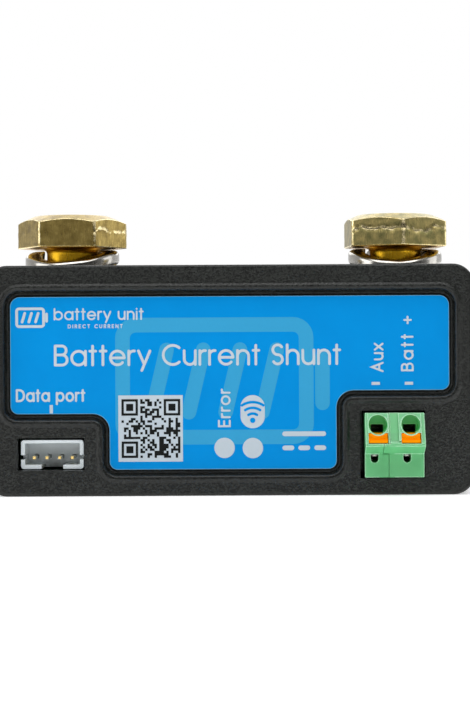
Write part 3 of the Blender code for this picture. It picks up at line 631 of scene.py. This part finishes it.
# The header gets painted light by emission at its mouth.
IVORY = moulded("header_nylon", (0.86, 0.91, 0.92), (0.78, 0.83, 0.84), 0.42, painted_front_light=(HEADER_MOUTH, 0.5, 0.28),
                Specular_IOR_Level=0.4, Emission_Color=(0.82, 0.92, 0.96))
LAMP = moulded("led_resin", (0.85, 0.8, 0.55), (0.8, 0.7, 0.4), 0.2, Coat_Weight=0.5)
PIPE = moulded("light_pipe_resin", (0.72, 0.76, 0.79), (0.68, 0.73, 0.76), 0.25, 0.3, Coat_Weight=0.4)
ALLOY = resistor_alloy()
LAMINATE = board_laminate()
TINNED = tinned_metal()
RESIN = chip_resin()
GILT = gilt()


# ---------------------------------------------------------------- housing

def face_corners(inset):
    return (COVER_LEFT + inset, COVER_BOTTOM + inset), (COVER_RIGHT - inset, COVER_TOP - inset)


def face_outline(inset=0.0):
    """The housing's outline seen from the front."""
    return rounded_box(*face_corners(inset), CORNER - inset, 14)


def quarter(radius, steps=5):
    """The inset and the depth of points round an edge of the given radius, from the face to the side."""
    angles = [radians(90.0 * i / steps) for i in range(steps + 1)]
    return [(radius * (1 - sin(a)), radius * (1 - cos(a))) for a in angles]


def relief(profile):
    """A closed ring that follows the label's outline, with a section of (growth, height over the front)."""
    rings = [[(x, FRONT - height, z) for x, z in label_outline(grow)] for grow, height in profile]
    return stack(rings, closed=True)


def swell(start, end, height, steps=8):
    """Points over a smooth hump of the given height, from one growth of the outline to another."""
    return [(start + (end - start) * i / steps, height * (1 - cos(2 * pi * i / steps)) / 2)
            for i in range(1, steps)]


def cover():
    rings = [(face_outline(inset), FRONT + depth) for inset, depth in quarter(FRONT_EDGE)]
    rings += [(face_outline(), SEAM_FRONT - 0.12), (face_outline(0.12), SEAM_FRONT)]
    body = loft("Y", rings)
    inside = prism("Y", rounded_box(*face_corners(WALL), 1.0, 4), FACE_INSIDE, SEAM_FRONT + FAR)
    recess = prism("Y", label_outline(LIP_START), FRONT - FAR, RECESS_FLOOR)
    depth = RECESS_FLOOR - FRONT
    lip_end = LIP_START + LIP_WIDTH
    lip = [(LIP_START + LIP_WIDTH * (1 - cos(a)), -depth * (1 - sin(a)))
           for a in [radians(90.0 * i / 8) for i in range(9)]]
    rolled = relief([(LIP_START - 0.2, -depth), *lip, (lip_end, FAR), (LIP_START - 0.2, FAR)])
    groove = relief([(0.15, -depth + 0.2), (0.15, -depth - 0.1), (0.35, -depth - GROOVE),
                     (0.6, -depth - GROOVE), (LIP_START, -depth - 0.05), (LIP_START, -depth + 0.2)])
    bead_start = lip_end - 0.55
    bead = relief([(bead_start, -0.3), (bead_start, 0.0), *swell(bead_start, BEAD_END, BEAD), (BEAD_END, 0.0),
                   (BEAD_END, -0.3)])
    openings = [rounded_box(o[:2], o[2:], 0.12, 3) for o in (HEADER_OPENING, TERMINAL_OPENING)]
    for name in ("error", "status"):
        low, high = span(f"light_pipe_{name}")
        openings.append(circle(((low[0] + high[0]) / 2, (low[2] + high[2]) / 2), 1.7, 40))
    through = [prism("Y", opening, FRONT - FAR, FACE_INSIDE + 1.0) for opening in openings]
    body = cut(carve(body, "UNION", bead), inside, recess, rolled, groove, *through)
    flatten(piece("front_cover_moulding", body, BLACK, "shunt", ["front_cover"], 32.0))


# ---------------------------------------------------------------- label

def counter_clockwise(outline):
    area = sum(a[0] * b[1] - b[0] * a[1] for a, b in zip(outline, outline[1:] + outline[:1]))
    return outline if area > 0 else outline[::-1]


def flat_solid(outlines, front, back):
    """One closed solid per island of the outlines' union in x and z, between two places along y."""
    outlines = [counter_clockwise(outline) for outline in outlines]
    points = [Vector(point) for outline in outlines for point in outline]
    faces, start = [], 0
    for outline in outlines:
        faces.append(list(range(start, start + len(outline))))
        start += len(outline)
    spots, _, triangles, _, _, origins = delaunay_2d_cdt(points, [], faces, 0, 1e-5, True)
    mesh = bmesh.new()
    verts = [mesh.verts.new((spot.x, front, spot.y)) for spot in spots]
    for triangle, covered in zip(triangles, origins):
        if covered:
            mesh.faces.new([verts[i] for i in triangle])
    bmesh.ops.delete(mesh, geom=[vert for vert in mesh.verts if not vert.link_faces], context="VERTS")
    bmesh.ops.dissolve_limit(mesh, angle_limit=0.01, verts=mesh.verts[:], edges=mesh.edges[:])
    extruded = bmesh.ops.extrude_face_region(mesh, geom=mesh.faces[:], use_keep_orig=True)["geom"]
    moved = [element for element in extruded if isinstance(element, bmesh.types.BMVert)]
    bmesh.ops.translate(mesh, verts=moved, vec=(0, back - front, 0))
    bmesh.ops.recalc_face_normals(mesh, faces=mesh.faces)
    return mesh


def printed(name, outlines, finish, layer=1):
    """Flat shapes printed on the label, from outlines in x and z, as closed solids in an ink layer."""
    mesh = flat_solid(outlines, LABEL_FACE - layer * INK, LABEL_FACE + INK / 2)
    piece(f"label_{name}", mesh, finish, "shunt")


# ---------------------------------------------------------------- lettering

X_HEIGHT = 0.72
BOWL = X_HEIGHT / 2
ARCH = 0.29


def glyph(letter):
    """The strokes of a plain geometric letter one cap-height tall, and its width."""
    bowl = [arc((BOWL, BOWL), BOWL, 0.0, 180.0, 14), arc((BOWL, BOWL), BOWL, 180.0, 360.0, 14)]
    arch = arc((ARCH, X_HEIGHT - ARCH), ARCH, 180.0, 0.0, 12)
    short, tall = [(0, X_HEIGHT), (0, 0)], [(0, 1), (0, 0)]
    wide = 2 * BOWL
    strokes = {
        "a": ([*bowl, [(wide, X_HEIGHT), (wide, 0)]], wide),
        "b": ([*bowl, tall], wide),
        "e": ([[(0.02, BOWL), (wide, BOWL)], arc((BOWL, BOWL), BOWL, 0.0, 318.0, 24)], wide),
        "h": ([tall, arch + [(2 * ARCH, 0)]], 2 * ARCH),
        "i": ([short, [(0, 0.97), (0, 0.98)]], 0.0),
        "n": ([short, arch + [(2 * ARCH, 0)]], 2 * ARCH),
        "o": (bowl, wide),
        "p": ([*bowl, [(0, X_HEIGHT), (0, -0.3)]], wide),
        "r": ([short, arc((0.25, X_HEIGHT - 0.25), 0.25, 180.0, 80.0, 8)], 0.27),
        "t": ([[(0.14, 0.98), (0.14, 0)], [(0, X_HEIGHT), (0.3, X_HEIGHT)]], 0.3),
        "u": ([[(0, X_HEIGHT)] + arc((ARCH, ARCH), ARCH, 180.0, 360.0, 12),
               [(2 * ARCH, X_HEIGHT), (2 * ARCH, 0)]], 2 * ARCH),
        "x": ([[(0, X_HEIGHT), (0.55, 0)], [(0, 0), (0.55, X_HEIGHT)]], 0.55),
        "y": ([[(0, X_HEIGHT), (0.3, 0.02)], [(0.6, X_HEIGHT), (0.17, -0.3)]], 0.6),
        "A": ([[(0, 0), (0.38, 1), (0.76, 0)], [(0.13, 0.32), (0.63, 0.32)]], 0.76),
        "B": ([[(0, 0), (0, 1)], [(0, 1)] + arc((0.34, 0.765), 0.235, 90.0, -90.0, 10) + [(0, 0.53)],
               [(0, 0.53)] + arc((0.36, 0.265), 0.265, 90.0, -90.0, 10) + [(0, 0)]], 0.625),
        "C": ([arc((0.5, 0.5), 0.5, 48.0, 312.0, 24)], 0.86),
        "D": ([[(0, 0), (0, 1)], [(0, 1)] + arc((0.28, 0.5), 0.5, 90.0, -90.0, 18) + [(0, 0)]], 0.78),
        "E": ([[(0.5, 1), (0, 1), (0, 0), (0.5, 0)], [(0, 0.52), (0.45, 0.52)]], 0.5),
        "I": ([tall], 0.0),
        "N": ([[(0, 0), (0, 1), (0.68, 0), (0.68, 1)]], 0.68),
        "R": ([[(0, 0), (0, 1)], [(0, 1)] + arc((0.32, 0.74), 0.26, 90.0, -90.0, 10) + [(0, 0.48)],
               [(0.3, 0.48), (0.58, 0)]], 0.58),
        "S": ([arc((0.29, 0.745), 0.255, 35.0, 270.0, 14)
               + arc((0.29, 0.245), 0.245, 90.0, -150.0, 14)[1:]], 0.55),
        "T": ([[(0.31, 1), (0.31, 0)], [(0, 1), (0.62, 1)]], 0.62),
        "U": ([[(0, 1)] + arc((0.33, 0.33), 0.33, 180.0, 360.0, 14) + [(0.66, 1)]], 0.66),
        "+": ([[(0.3, 0.15), (0.3, 0.75)], [(0, 0.45), (0.6, 0.45)]], 0.6),
        " ": ([], 0.22),
    }
    return strokes[letter]


def lettering(name, words, start, height, length, weight, upright=False, narrow=1.0):
    """Words in strokes of the given weight, spread over a length from start along x, or up z if upright."""
    widths = sum(glyph(letter)[1] for letter in words) * height * narrow
    space = (length - widths - weight) / (len(words) - 1)
    outlines, cursor = [], weight / 2
    for letter in words:
        strokes, width = glyph(letter)
        for line in strokes:
            line = [(cursor + x * height * narrow, y * height) for x, y in line]
            if upright:
                line = [(-y, x) for x, y in line]
            outlines.append(stroke([(start[0] + x, start[1] + z) for x, z in line], weight))
        cursor += width * height * narrow + space
    printed(name, outlines, PRINT, 2)


def battery_sign(low, high, width, bars=3):
    """Outlines of a battery lying on its side: its rounded case, its nub and slanted charge bars."""
    half = width / 2
    x0, z0, z1 = low[0] + half, low[1] + half, high[1] - half
    x1 = high[0] - width * 1.6
    middle, reach = (z0 + z1) / 2, (z1 - z0) * 0.2
    case = rounded([(x0, z0), (x1, z0), (x1, z1), (x0, z1)], [width * 0.9] * 4, 6)
    turn = len(case) // 2
    nub = [(high[0] - half, middle - reach), (high[0] - half, middle + reach)]
    shapes = [stroke(line, width) for line in (case[:turn + 1], case[turn:] + case[:1], nub)]
    step = (x1 - x0) / (bars + 1)
    lean = width * 0.5
    for i in range(bars):
        x = x0 + step * (i + 1)
        shapes.append(stroke([(x - lean, z0 + width * 1.7), (x + lean, z1 - width * 1.7)], width))
    return shapes


def matrix_code(low, side, count=25):
    """The dark cells of a square pattern of random cells, which says nothing, with three corner targets."""
    draw = random.Random(11)
    cell = side / count

    def target(column, row):
        """Whether a cell of a corner target is dark. It is None outside the targets."""
        for c, r in ((0, 0), (0, count - 7), (count - 7, count - 7)):
            if c - 1 <= column <= c + 7 and r - 1 <= row <= r + 7:
                return max(abs(column - c - 3), abs(row - r - 3)) in (0, 1, 3)
        return None

    shapes = []
    for row in range(count):
        targets = [target(column, row) for column in range(count)]
        dark = [draw.random() < 0.5 if fixed is None else fixed for fixed in targets]
        start = None
        for column, wanted in enumerate(dark + [False]):
            if wanted and start is None:
                start = column
            if not wanted and start is not None:
                shapes.append(rectangle((low[0] + start * cell, low[1] + row * cell),
                                        (low[0] + column * cell, low[1] + (row + 1) * cell)))
                start = None
    return shapes


def label():
    """The printed film, with each kind of print as a piece of its own. Places are x and z."""
    film = loft("Y", [(label_outline(), LABEL_FACE), (label_outline(), LABEL_BACK)])
    piece("label_film", film, BLUE, "shunt", ["label"])
    rim = stack([[(x, y, z) for x, z in label_outline(grow)] for grow, y in (
        (-0.06, LABEL_FACE + 0.01), (-0.06, LABEL_FACE - 0.008), (0.02, LABEL_FACE - 0.008),
        (0.03, LABEL_BACK - 0.02), (0.0, LABEL_BACK - 0.02), (0.0, LABEL_FACE + 0.01))], closed=True)
    piece("label_cut_edge", rim, LABEL_EDGE, "shunt")

    printed("watermark", battery_sign((-18.0, 8.0), (15.6, 27.9), 2.3, 4), WATERMARK)
    printed("sign", battery_sign((-33.6, 26.4), (-28.5, 29.6), 0.42), PRINT, 2)
    lettering("name", "battery unit", (-27.6, 27.7), 1.65, 14.1, 0.27)
    lettering("name_line", "DIRECT CURRENT", (-25.4, 26.35), 0.5, 8.6, 0.12)
    lettering("title", "Battery Current Shunt", (-27.6, 20.55), 3.0, 45.0, 0.42)
    lettering("port_data", "Data port", (-33.6, 14.95), 1.7, 10.9, 0.34, narrow=0.85)
    lettering("light_error", "Error", (-0.1, 10.7), 1.7, 6.0, 0.3, True)
    lettering("port_aux", "Aux", (23.9, 19.2), 1.7, 4.6, 0.3, True)
    lettering("port_battery", "Batt +", (28.6, 19.3), 1.7, 8.7, 0.3, True)
    ticks = [rectangle((-28.3, 13.0), (-27.8, 14.3))]
    ticks += [rectangle((x - 0.65, 17.2), (x + 0.65, 17.65)) for x in (22.8, 28.0)]
    printed("ticks", ticks, PRINT, 2)

    printed("code_ground", [rectangle((-17.55, 5.35), (-7.45, 15.75))], PRINT, 2)
    printed("code", matrix_code((-17.05, 5.95), 9.2), DARK_PRINT, 3)

    pill = rounded_box((1.6, 10.5), (5.4, 15.7), 1.89, 12)
    printed("wireless_ground", [pill], PRINT, 2)
    signs = [stroke(arc((3.5, 11.6), radius, 56.0, 124.0, 14), 0.4) for radius in (1.2, 2.1, 3.0)]
    signs.append(circle((3.5, 11.75), 0.42, 24))
    printed("wireless", signs, BLUE, 3)
    direct = [stroke([(8.5, 9.6), (14.6, 9.6)], 0.75)]
    direct += [stroke([(x, 7.4), (x + 1.1, 7.4)], 0.75) for x in (8.5, 11.0, 13.5)]
    printed("direct_current", direct, PRINT, 2)
    windows = [circle((x, z), 1.6, 48) for x, z in ((-0.93, 7.45), (3.5, 7.4))]
    printed("light_windows", windows, PRINT, 2)


# ---------------------------------------------------------------- bolts and washers

def clamped(value):
    return max(0.0, min(1.0, value))


def hump(distance, width):
    return exp(-((distance / width) ** 2))


def soft_least(a, b, blend):
    """The smaller of two values, rounded over where they are nearly equal."""
    share = clamped(0.5 + (b - a) / (2 * blend))
    return b * (1 - share) + a * share - blend * share * (1 - share)


def ripple(*coordinates):
    return noise.noise(Vector(coordinates))


def bolt_angles(turn):
    """Angles round a bolt, closer together near the corners of its head."""
    angles = []
    for flat in range(6):
        for i in range(24):
            t = -1.0 + i / 12.0
            eased = 0.45 * t + 0.55 * sin(t * pi / 2)
            angles.append(radians(turn + 60.0 * flat + 30.0 + 30.0 * eased))
    return angles


def head_point(angle, side_name, z):
    """The radius of the worn hexagon head at an angle and height, and how bright its edges show: real rubbing, and
    a painted highlight along the ridge.
    """
    turn, seed = HEAD_TURNS[side_name], HEAD_SEEDS[side_name]
    flat = HEAD_RADIUS * cos(radians(30.0))
    local = (degrees(angle) - turn) % 60.0 - 30.0
    number = int(((degrees(angle) - turn) % 360.0) // 60.0)
    hexagon = flat / cos(radians(local))
    near_corner = max(0.0, 1.0 - (30.0 - abs(local)) / 2.8)
    corner = round(number + 0.5 + local / 60.0)
    bruise = ripple(z * 1.3, seed * 3.1 + corner, 0.5)
    side = soft_least(hexagon, HEAD_RADIUS - 0.1 - 0.04 * bruise, 0.14)
    across = flat * tan(radians(local))
    burr_line = HEAD_TOP - 2.6 + 0.8 * ripple(across * 0.35, number * 3.7, seed)
    burr_line += 0.4 * ripple(across * 1.4, number * 5.1, seed)
    # The ridge is raised, and its brightness is also a painted highlight.
    strength = RIDGES[side_name].get(number, 0.3)
    away = z - burr_line
    ridge = hump(away, 0.34 + 0.24 * ripple(across * 1.3, seed, 3.0)) * strength
    ridge *= clamped(0.85 + 1.3 * ripple(across * 1.1, number, seed + 5.0))
    step = 1.0 / (1.0 + exp(-away / 0.06))
    side += 0.10 * ridge - 0.07 * step * strength
    side += 0.02 * ripple(across * 2.6, z * 0.25, number * 9.0 + seed)
    cone = HEAD_FLAT_RADIUS + (HEAD_TOP - z) * (HEAD_RADIUS - HEAD_FLAT_RADIUS) / HEAD_DROP
    cone += 0.05 * ripple(angle * 9.0, seed, 2.0) + 0.03 * ripple(angle * 31.0, seed, 8.0)
    radius = soft_least(side, cone, 0.10)
    on_side = clamped((cone - side) / 0.12 + 0.6)
    chamfer_edge = hump(side - cone - 0.02, 0.2)
    apex = max(0.0, 1.0 - (30.0 - abs(local)) / 5.0) * hump(side - cone, 0.3)
    bottom_edge = hump(z - HEAD_BOTTOM, 0.2)
    corner_wear = near_corner * on_side * (1.1 + 0.9 * bruise + 0.3 * ripple(corner * 1.7, seed, 6.0))
    chamfer_wear = chamfer_edge * (0.95 + 0.6 * ripple(angle * 14.0, seed, 1.0))
    return radius, max(corner_wear, chamfer_wear, ridge, bottom_edge * 0.9, apex)


def thread_radius(angle, z):
    """A right-hand thread: the radius rises and falls once for each pitch, shifted round by the angle."""
    phase = (z / THREAD_PITCH - angle / (2 * pi)) % 1.0
    flank = clamped((0.5 - abs(phase - 0.5)) / 0.375 - 0.08)
    full = THREAD_ROOT + (THREAD_RADIUS - THREAD_ROOT) * flank
    tip = THREAD_ROOT - 0.6 + (z - BOLT_TIP) * 1.0
    fade = clamped((UNDERCUT_END - 0.2 - z) / 0.6)
    return min(tip, SHANK_RADIUS * (1 - fade) + full * fade)


def bolt(side, sign):
    """A bolt from its tip to the top of its head. Each row holds radius, angle, height and a value for rubbing and
    painted light.
    """
    angles = bolt_angles(HEAD_TURNS[side])
    foot = [head_point(a, side, HEAD_BOTTOM)[0] for a in angles]
    rows = []

    def ring(radius, z, rubbing_and_painted_light):
        rows.append([(radius, a, z, rubbing_and_painted_light) for a in angles])

    # The thread is painted half way to the golden painted reflection.
    for i in range(THREAD_ROWS + 1):
        z = BOLT_TIP + (UNDERCUT_END - BOLT_TIP) * i / THREAD_ROWS
        rows.append([(thread_radius(a, z), a, z, -0.5) for a in angles])
    fillet_start = HEAD_BOTTOM - HEAD_FILLET
    for z in (37.4, 38.2, fillet_start - 0.05):
        ring(SHANK_RADIUS, z, PAINTED_REFLECTION_VALUE)
    for i in range(8):
        swing = radians(88.0 * i / 7)
        ring(SHANK_RADIUS + HEAD_FILLET * (1 - cos(swing)),
             fillet_start + HEAD_FILLET * sin(swing), PAINTED_REFLECTION_VALUE)
    inner = SHANK_RADIUS + HEAD_FILLET + 0.1
    # Under the head the painted golden reflection gives way towards the rim.
    for share, rubbing_and_painted_light in ((0.3, PAINTED_REFLECTION_VALUE), (0.6, PAINTED_REFLECTION_VALUE), (0.85, -0.5), (0.95, 0.0)):
        rows.append([(inner + (radius - 0.16 - inner) * share, a, HEAD_BOTTOM, rubbing_and_painted_light)
                     for radius, a in zip(foot, angles)])
    for inset, lift in ((0.16, 0.0), (0.07, 0.02), (0.02, 0.07)):
        rows.append([(radius - inset, a, HEAD_BOTTOM + lift, 0.8) for radius, a in zip(foot, angles)])
    heights = [HEAD_BOTTOM + 0.16 + 0.115 * i for i in range(33)]
    heights += [HEAD_TOP - 1.52 + 0.062 * i for i in range(24)]
    for z in heights:
        points = [head_point(a, side, z) for a in angles]
        rows.append([(radius, a, z, rubbing_and_painted_light) for (radius, rubbing_and_painted_light), a in zip(points, angles)])
    for radius, drop in ((HEAD_FLAT_RADIUS - 0.12, 0.012), (HEAD_FLAT_RADIUS - 0.5, 0.0), (5.0, 0.0),
                         (3.6, 0.01), (2.2, 0.015), (1.0, 0.02)):
        ring(radius, HEAD_TOP - drop, 0.1)

    mesh = stack([[(sign * BOLT_X + radius * cos(a), radius * sin(a), z) for radius, a, z, _ in row]
                  for row in rows])
    layer = mesh.verts.layers.float.new("rubbing_and_painted_light")
    for vert, (_, _, _, rubbing_and_painted_light) in zip(mesh.verts, [point for row in rows for point in row]):
        vert[layer] = rubbing_and_painted_light
    node = f"terminal_bolt_{side}"
    piece(f"{node}_worn", mesh, BOLT_BRASS[side], f"{side}_bolt", [node], 50.0)


def washer(side, sign, steps=150):
    """A split spring washer with rounded edges, from the block at its low side up to the bolt's head."""
    split, low_side, bend = WASHER_POSES[side]
    thick = WASHER_THICKNESS
    path = []
    for i in range(steps + 1):
        share = i / steps
        angle = radians(split + WASHER_GAP / 2 + (360.0 - WASHER_GAP) * share)
        near_low = (1 + cos(angle - radians(low_side))) / 2
        path.append((share, angle, WASHER_HELIX * (1 - share) + 1 - near_low ** bend))
    lowest = min(lift for _, _, lift in path)
    highest = max(lift for _, _, lift in path)
    rise = (HEAD_BOTTOM - 0.06) - (BLOCK_TOP + 0.05) - thick
    section = rounded(rectangle((WASHER_INNER, 0.0), (WASHER_OUTER, thick)), [0.3, 0.8, 0.9, 0.3], 6)
    rings = []
    for share, angle, lift in path:
        low = BLOCK_TOP + 0.05 + rise * (lift - lowest) / (highest - lowest)
        end = max(0.0, 1.0 - min(share, 1.0 - share) / 0.05)
        slant = radians(-5.0) * end
        ring = []
        for radius, height in section:
            a = angle + slant * (height / thick - 0.5)
            ring.append((sign * BOLT_X + radius * cos(a), radius * sin(a), low + height))
        rings.append(ring)
    node = f"spring_washer_{side}"
    piece(f"{node}_polished", stack(rings), STEEL, f"{side}_washer", [node], 40.0)


# ---------------------------------------------------------------- push-in terminal

def funnel_rim(name, x):
    """The thin raised rim round a wire funnel, which stands a little proud of the sloped face."""
    steps = 56
    rings = []
    for i in range(steps):
        a = 2 * pi * i / steps
        section = []
        for grow, proud in ((-0.03, -0.7), (-0.03, 0.03), (0.0, 0.1), (0.1, 0.1), (0.18, 0.03), (0.18, -0.7)):
            radius = FUNNEL_RADIUS + grow
            z = FUNNEL_Z + radius * sin(a)
            section.append((x + radius * cos(a), slope(z) - PLATE - proud, z))
        rings.append(section)
    rim = stack(rings, closed=True)
    piece(f"terminal_funnel_rim_{name}", rim, GREEN, "shunt", sharp=40.0)


def raised_face(name, x):
    """The face of a module round its funnel and button, proud of the channel between the modules."""
    left, right = PLATE_SIDES[name]
    low, high = span(f"release_button_{name}")
    bottom, top, sunk = PLATE_BOTTOM, TERMINAL_TOP - 0.06, 0.2
    outline = [(slope(bottom) - PLATE, bottom), (slope(bottom) + sunk, bottom), (slope(top) + sunk, top),
               (slope(top) - PLATE, top)]
    before, past = LEDGE - FAR, TERMINAL_FACE + FAR
    funnel = prism("Y", circle((x, FUNNEL_Z), FUNNEL_RADIUS + 0.02), before, past)
    slot = box((low[0] - 0.1, before, bottom - FAR), (high[0] + 0.1, past, high[2] + 0.12))
    plate = cut(prism("X", outline, left, right), funnel, slot)
    piece(f"terminal_face_{name}", plate, GREEN, "shunt", edge=0.08)


def button(name):
    """A release button with a finger hollow over a plain lip."""
    low, high = span(f"release_button_{name}")
    y, z0, z1 = low[1], low[2], high[2]
    hollow = arc((y - 0.25, (z0 + 0.45 + z1) / 2), 0.85, 42.0, -42.0, 8)
    outline = [(y, z0), (high[1], z0), (high[1], z1), (y + 0.32, z1)]
    outline += [(a, b) for a, b in hollow if z0 + 0.55 < b < z1 - 0.05]
    outline += [(y + 0.3, z0 + 0.5), (y + 0.5, z0 + 0.46), (y + 0.5, z0 + 0.4), (y + 0.1, z0 + 0.4),
                (y, z0 + 0.34)]
    body = prism("X", outline, low[0], high[0])
    piece(f"release_button_{name}_cap", body, ORANGE, f"{name}_button",
          [f"release_button_{name}"], edge=0.05)


# ---------------------------------------------------------------- carried-over nodes

def finish_nodes():
    """Gives every CAD node that stays in view its material, and rounds its edges."""
    finishes = {
        "black_plastic": (BLACK, 0.25), "brass_block": (BLOCK_BRASS, 0.12), "stainless": (SCREW_STEEL, 0.1),
        "resistor_alloy": (ALLOY, 0.06), "board_laminate": (LAMINATE, 0.04), "tinned_metal": (TINNED, 0.06),
        "chip_resin": (RESIN, 0.08), "header_nylon": (IVORY, 0.07), "gilt_pin": (GILT, 0.04),
        "led_resin": (LAMP, 0.06), "light_pipe_resin": (PIPE, 0.06), "terminal_green": (GREEN, 0.07),
    }
    for part in frame["record"]["subparts"]:
        node = frame["nodes"][part["node"]]
        if node.hide_render:
            continue
        finish, width = finishes[part["material_slot"]]
        node.data.materials.clear()
        node.data.materials.append(finish)
        node.data.shade_smooth()
        soften(node, width)


# ---------------------------------------------------------------- scene

def camera():
    """A camera level with the label and a little right of the object's middle."""
    across, distance, height = 7.9, 287.0, 24.3
    data = bpy.data.cameras.new("camera")
    data.lens = 93.8
    data.sensor_width = 36.0
    data.shift_x = -0.0644
    data.shift_y = -0.0177
    data.clip_start = 0.01
    made = add("camera", data)
    level = Matrix.Rotation(radians(90.0), 4, "X") @ Matrix.Rotation(radians(-0.3), 4, "Z")
    stand = Vector((across * MM, (FRONT - distance) * MM, height * MM))
    made.matrix_world = Matrix.Translation(stand) @ level
    bpy.context.scene.camera = made


def softbox(name, stand, aim, size, energy):
    data = bpy.data.lights.new(name, "AREA")
    data.shape = "RECTANGLE"
    data.size, data.size_y = size
    data.energy = energy
    made = add(name, data)
    made.location = stand
    made.rotation_euler = (Vector(aim) - Vector(stand)).to_track_quat("-Z", "Y").to_euler()


def studio():
    """A white room that is darker behind the camera, a pale floor and four softboxes."""
    world = bpy.data.worlds.new("studio")
    world.use_nodes = True
    bpy.context.scene.world = world
    sky = Nodes(world.node_tree)
    where = sky.node("TexCoord").outputs["Generated"]
    facing = sky.node("VectorMath", {0: where, 1: (0.0, -1.0, 0.0)}, operation="DOT_PRODUCT")
    to_front = sky.levels(facing.outputs["Value"], -1.0, 1.0)
    greys = [(0.0, 0.75), (0.3, 0.5), (0.5, 0.28), (0.75, 0.06), (1.0, 0.03)]
    room = sky.ramp(to_front, [(position, (grey, grey, grey)) for position, grey in greys])
    seen = sky.node("LightPath").outputs["Is Camera Ray"]
    background = sky.tree.nodes["Background"]
    sky.feed(background.inputs["Color"], sky.mix(seen, room, (1.0, 1.0, 1.0)))
    sky.feed(background.inputs["Strength"], 1.0)

    reach = 4.0
    data = bpy.data.meshes.new("floor")
    data.from_pydata([(-reach, -reach, 0), (reach, -reach, 0), (reach, reach, 0), (-reach, reach, 0)], [],
                     [(0, 1, 2, 3)])
    data.materials.append(floor_material())
    floor = add("floor", data)
    floor.location.z = -0.00002

    softbox("top", (0.0, -0.22, 0.5), (0.0, -0.02, 0.02), (0.7, 0.35), 2.2)
    softbox("left", (-0.5, -0.12, 0.2), (0.0, -0.02, 0.02), (0.3, 0.4), 0.8)
    softbox("right", (0.5, 0.12, 0.2), (0.0, -0.02, 0.02), (0.3, 0.4), 0.45)
    softbox("back", (0.0, 0.5, 0.35), (0.0, 0.0, 0.02), (0.7, 0.4), 1.2)
    bpy.context.scene.view_settings.view_transform = "Standard"


cover()
label()
for side, sign in (("left", -1), ("right", 1)):
    bolt(side, sign)
    washer(side, sign)
for pole, x in POLES.items():
    raised_face(pole, x)
    funnel_rim(pole, x)
    button(pole)
finish_nodes()
camera()
studio()
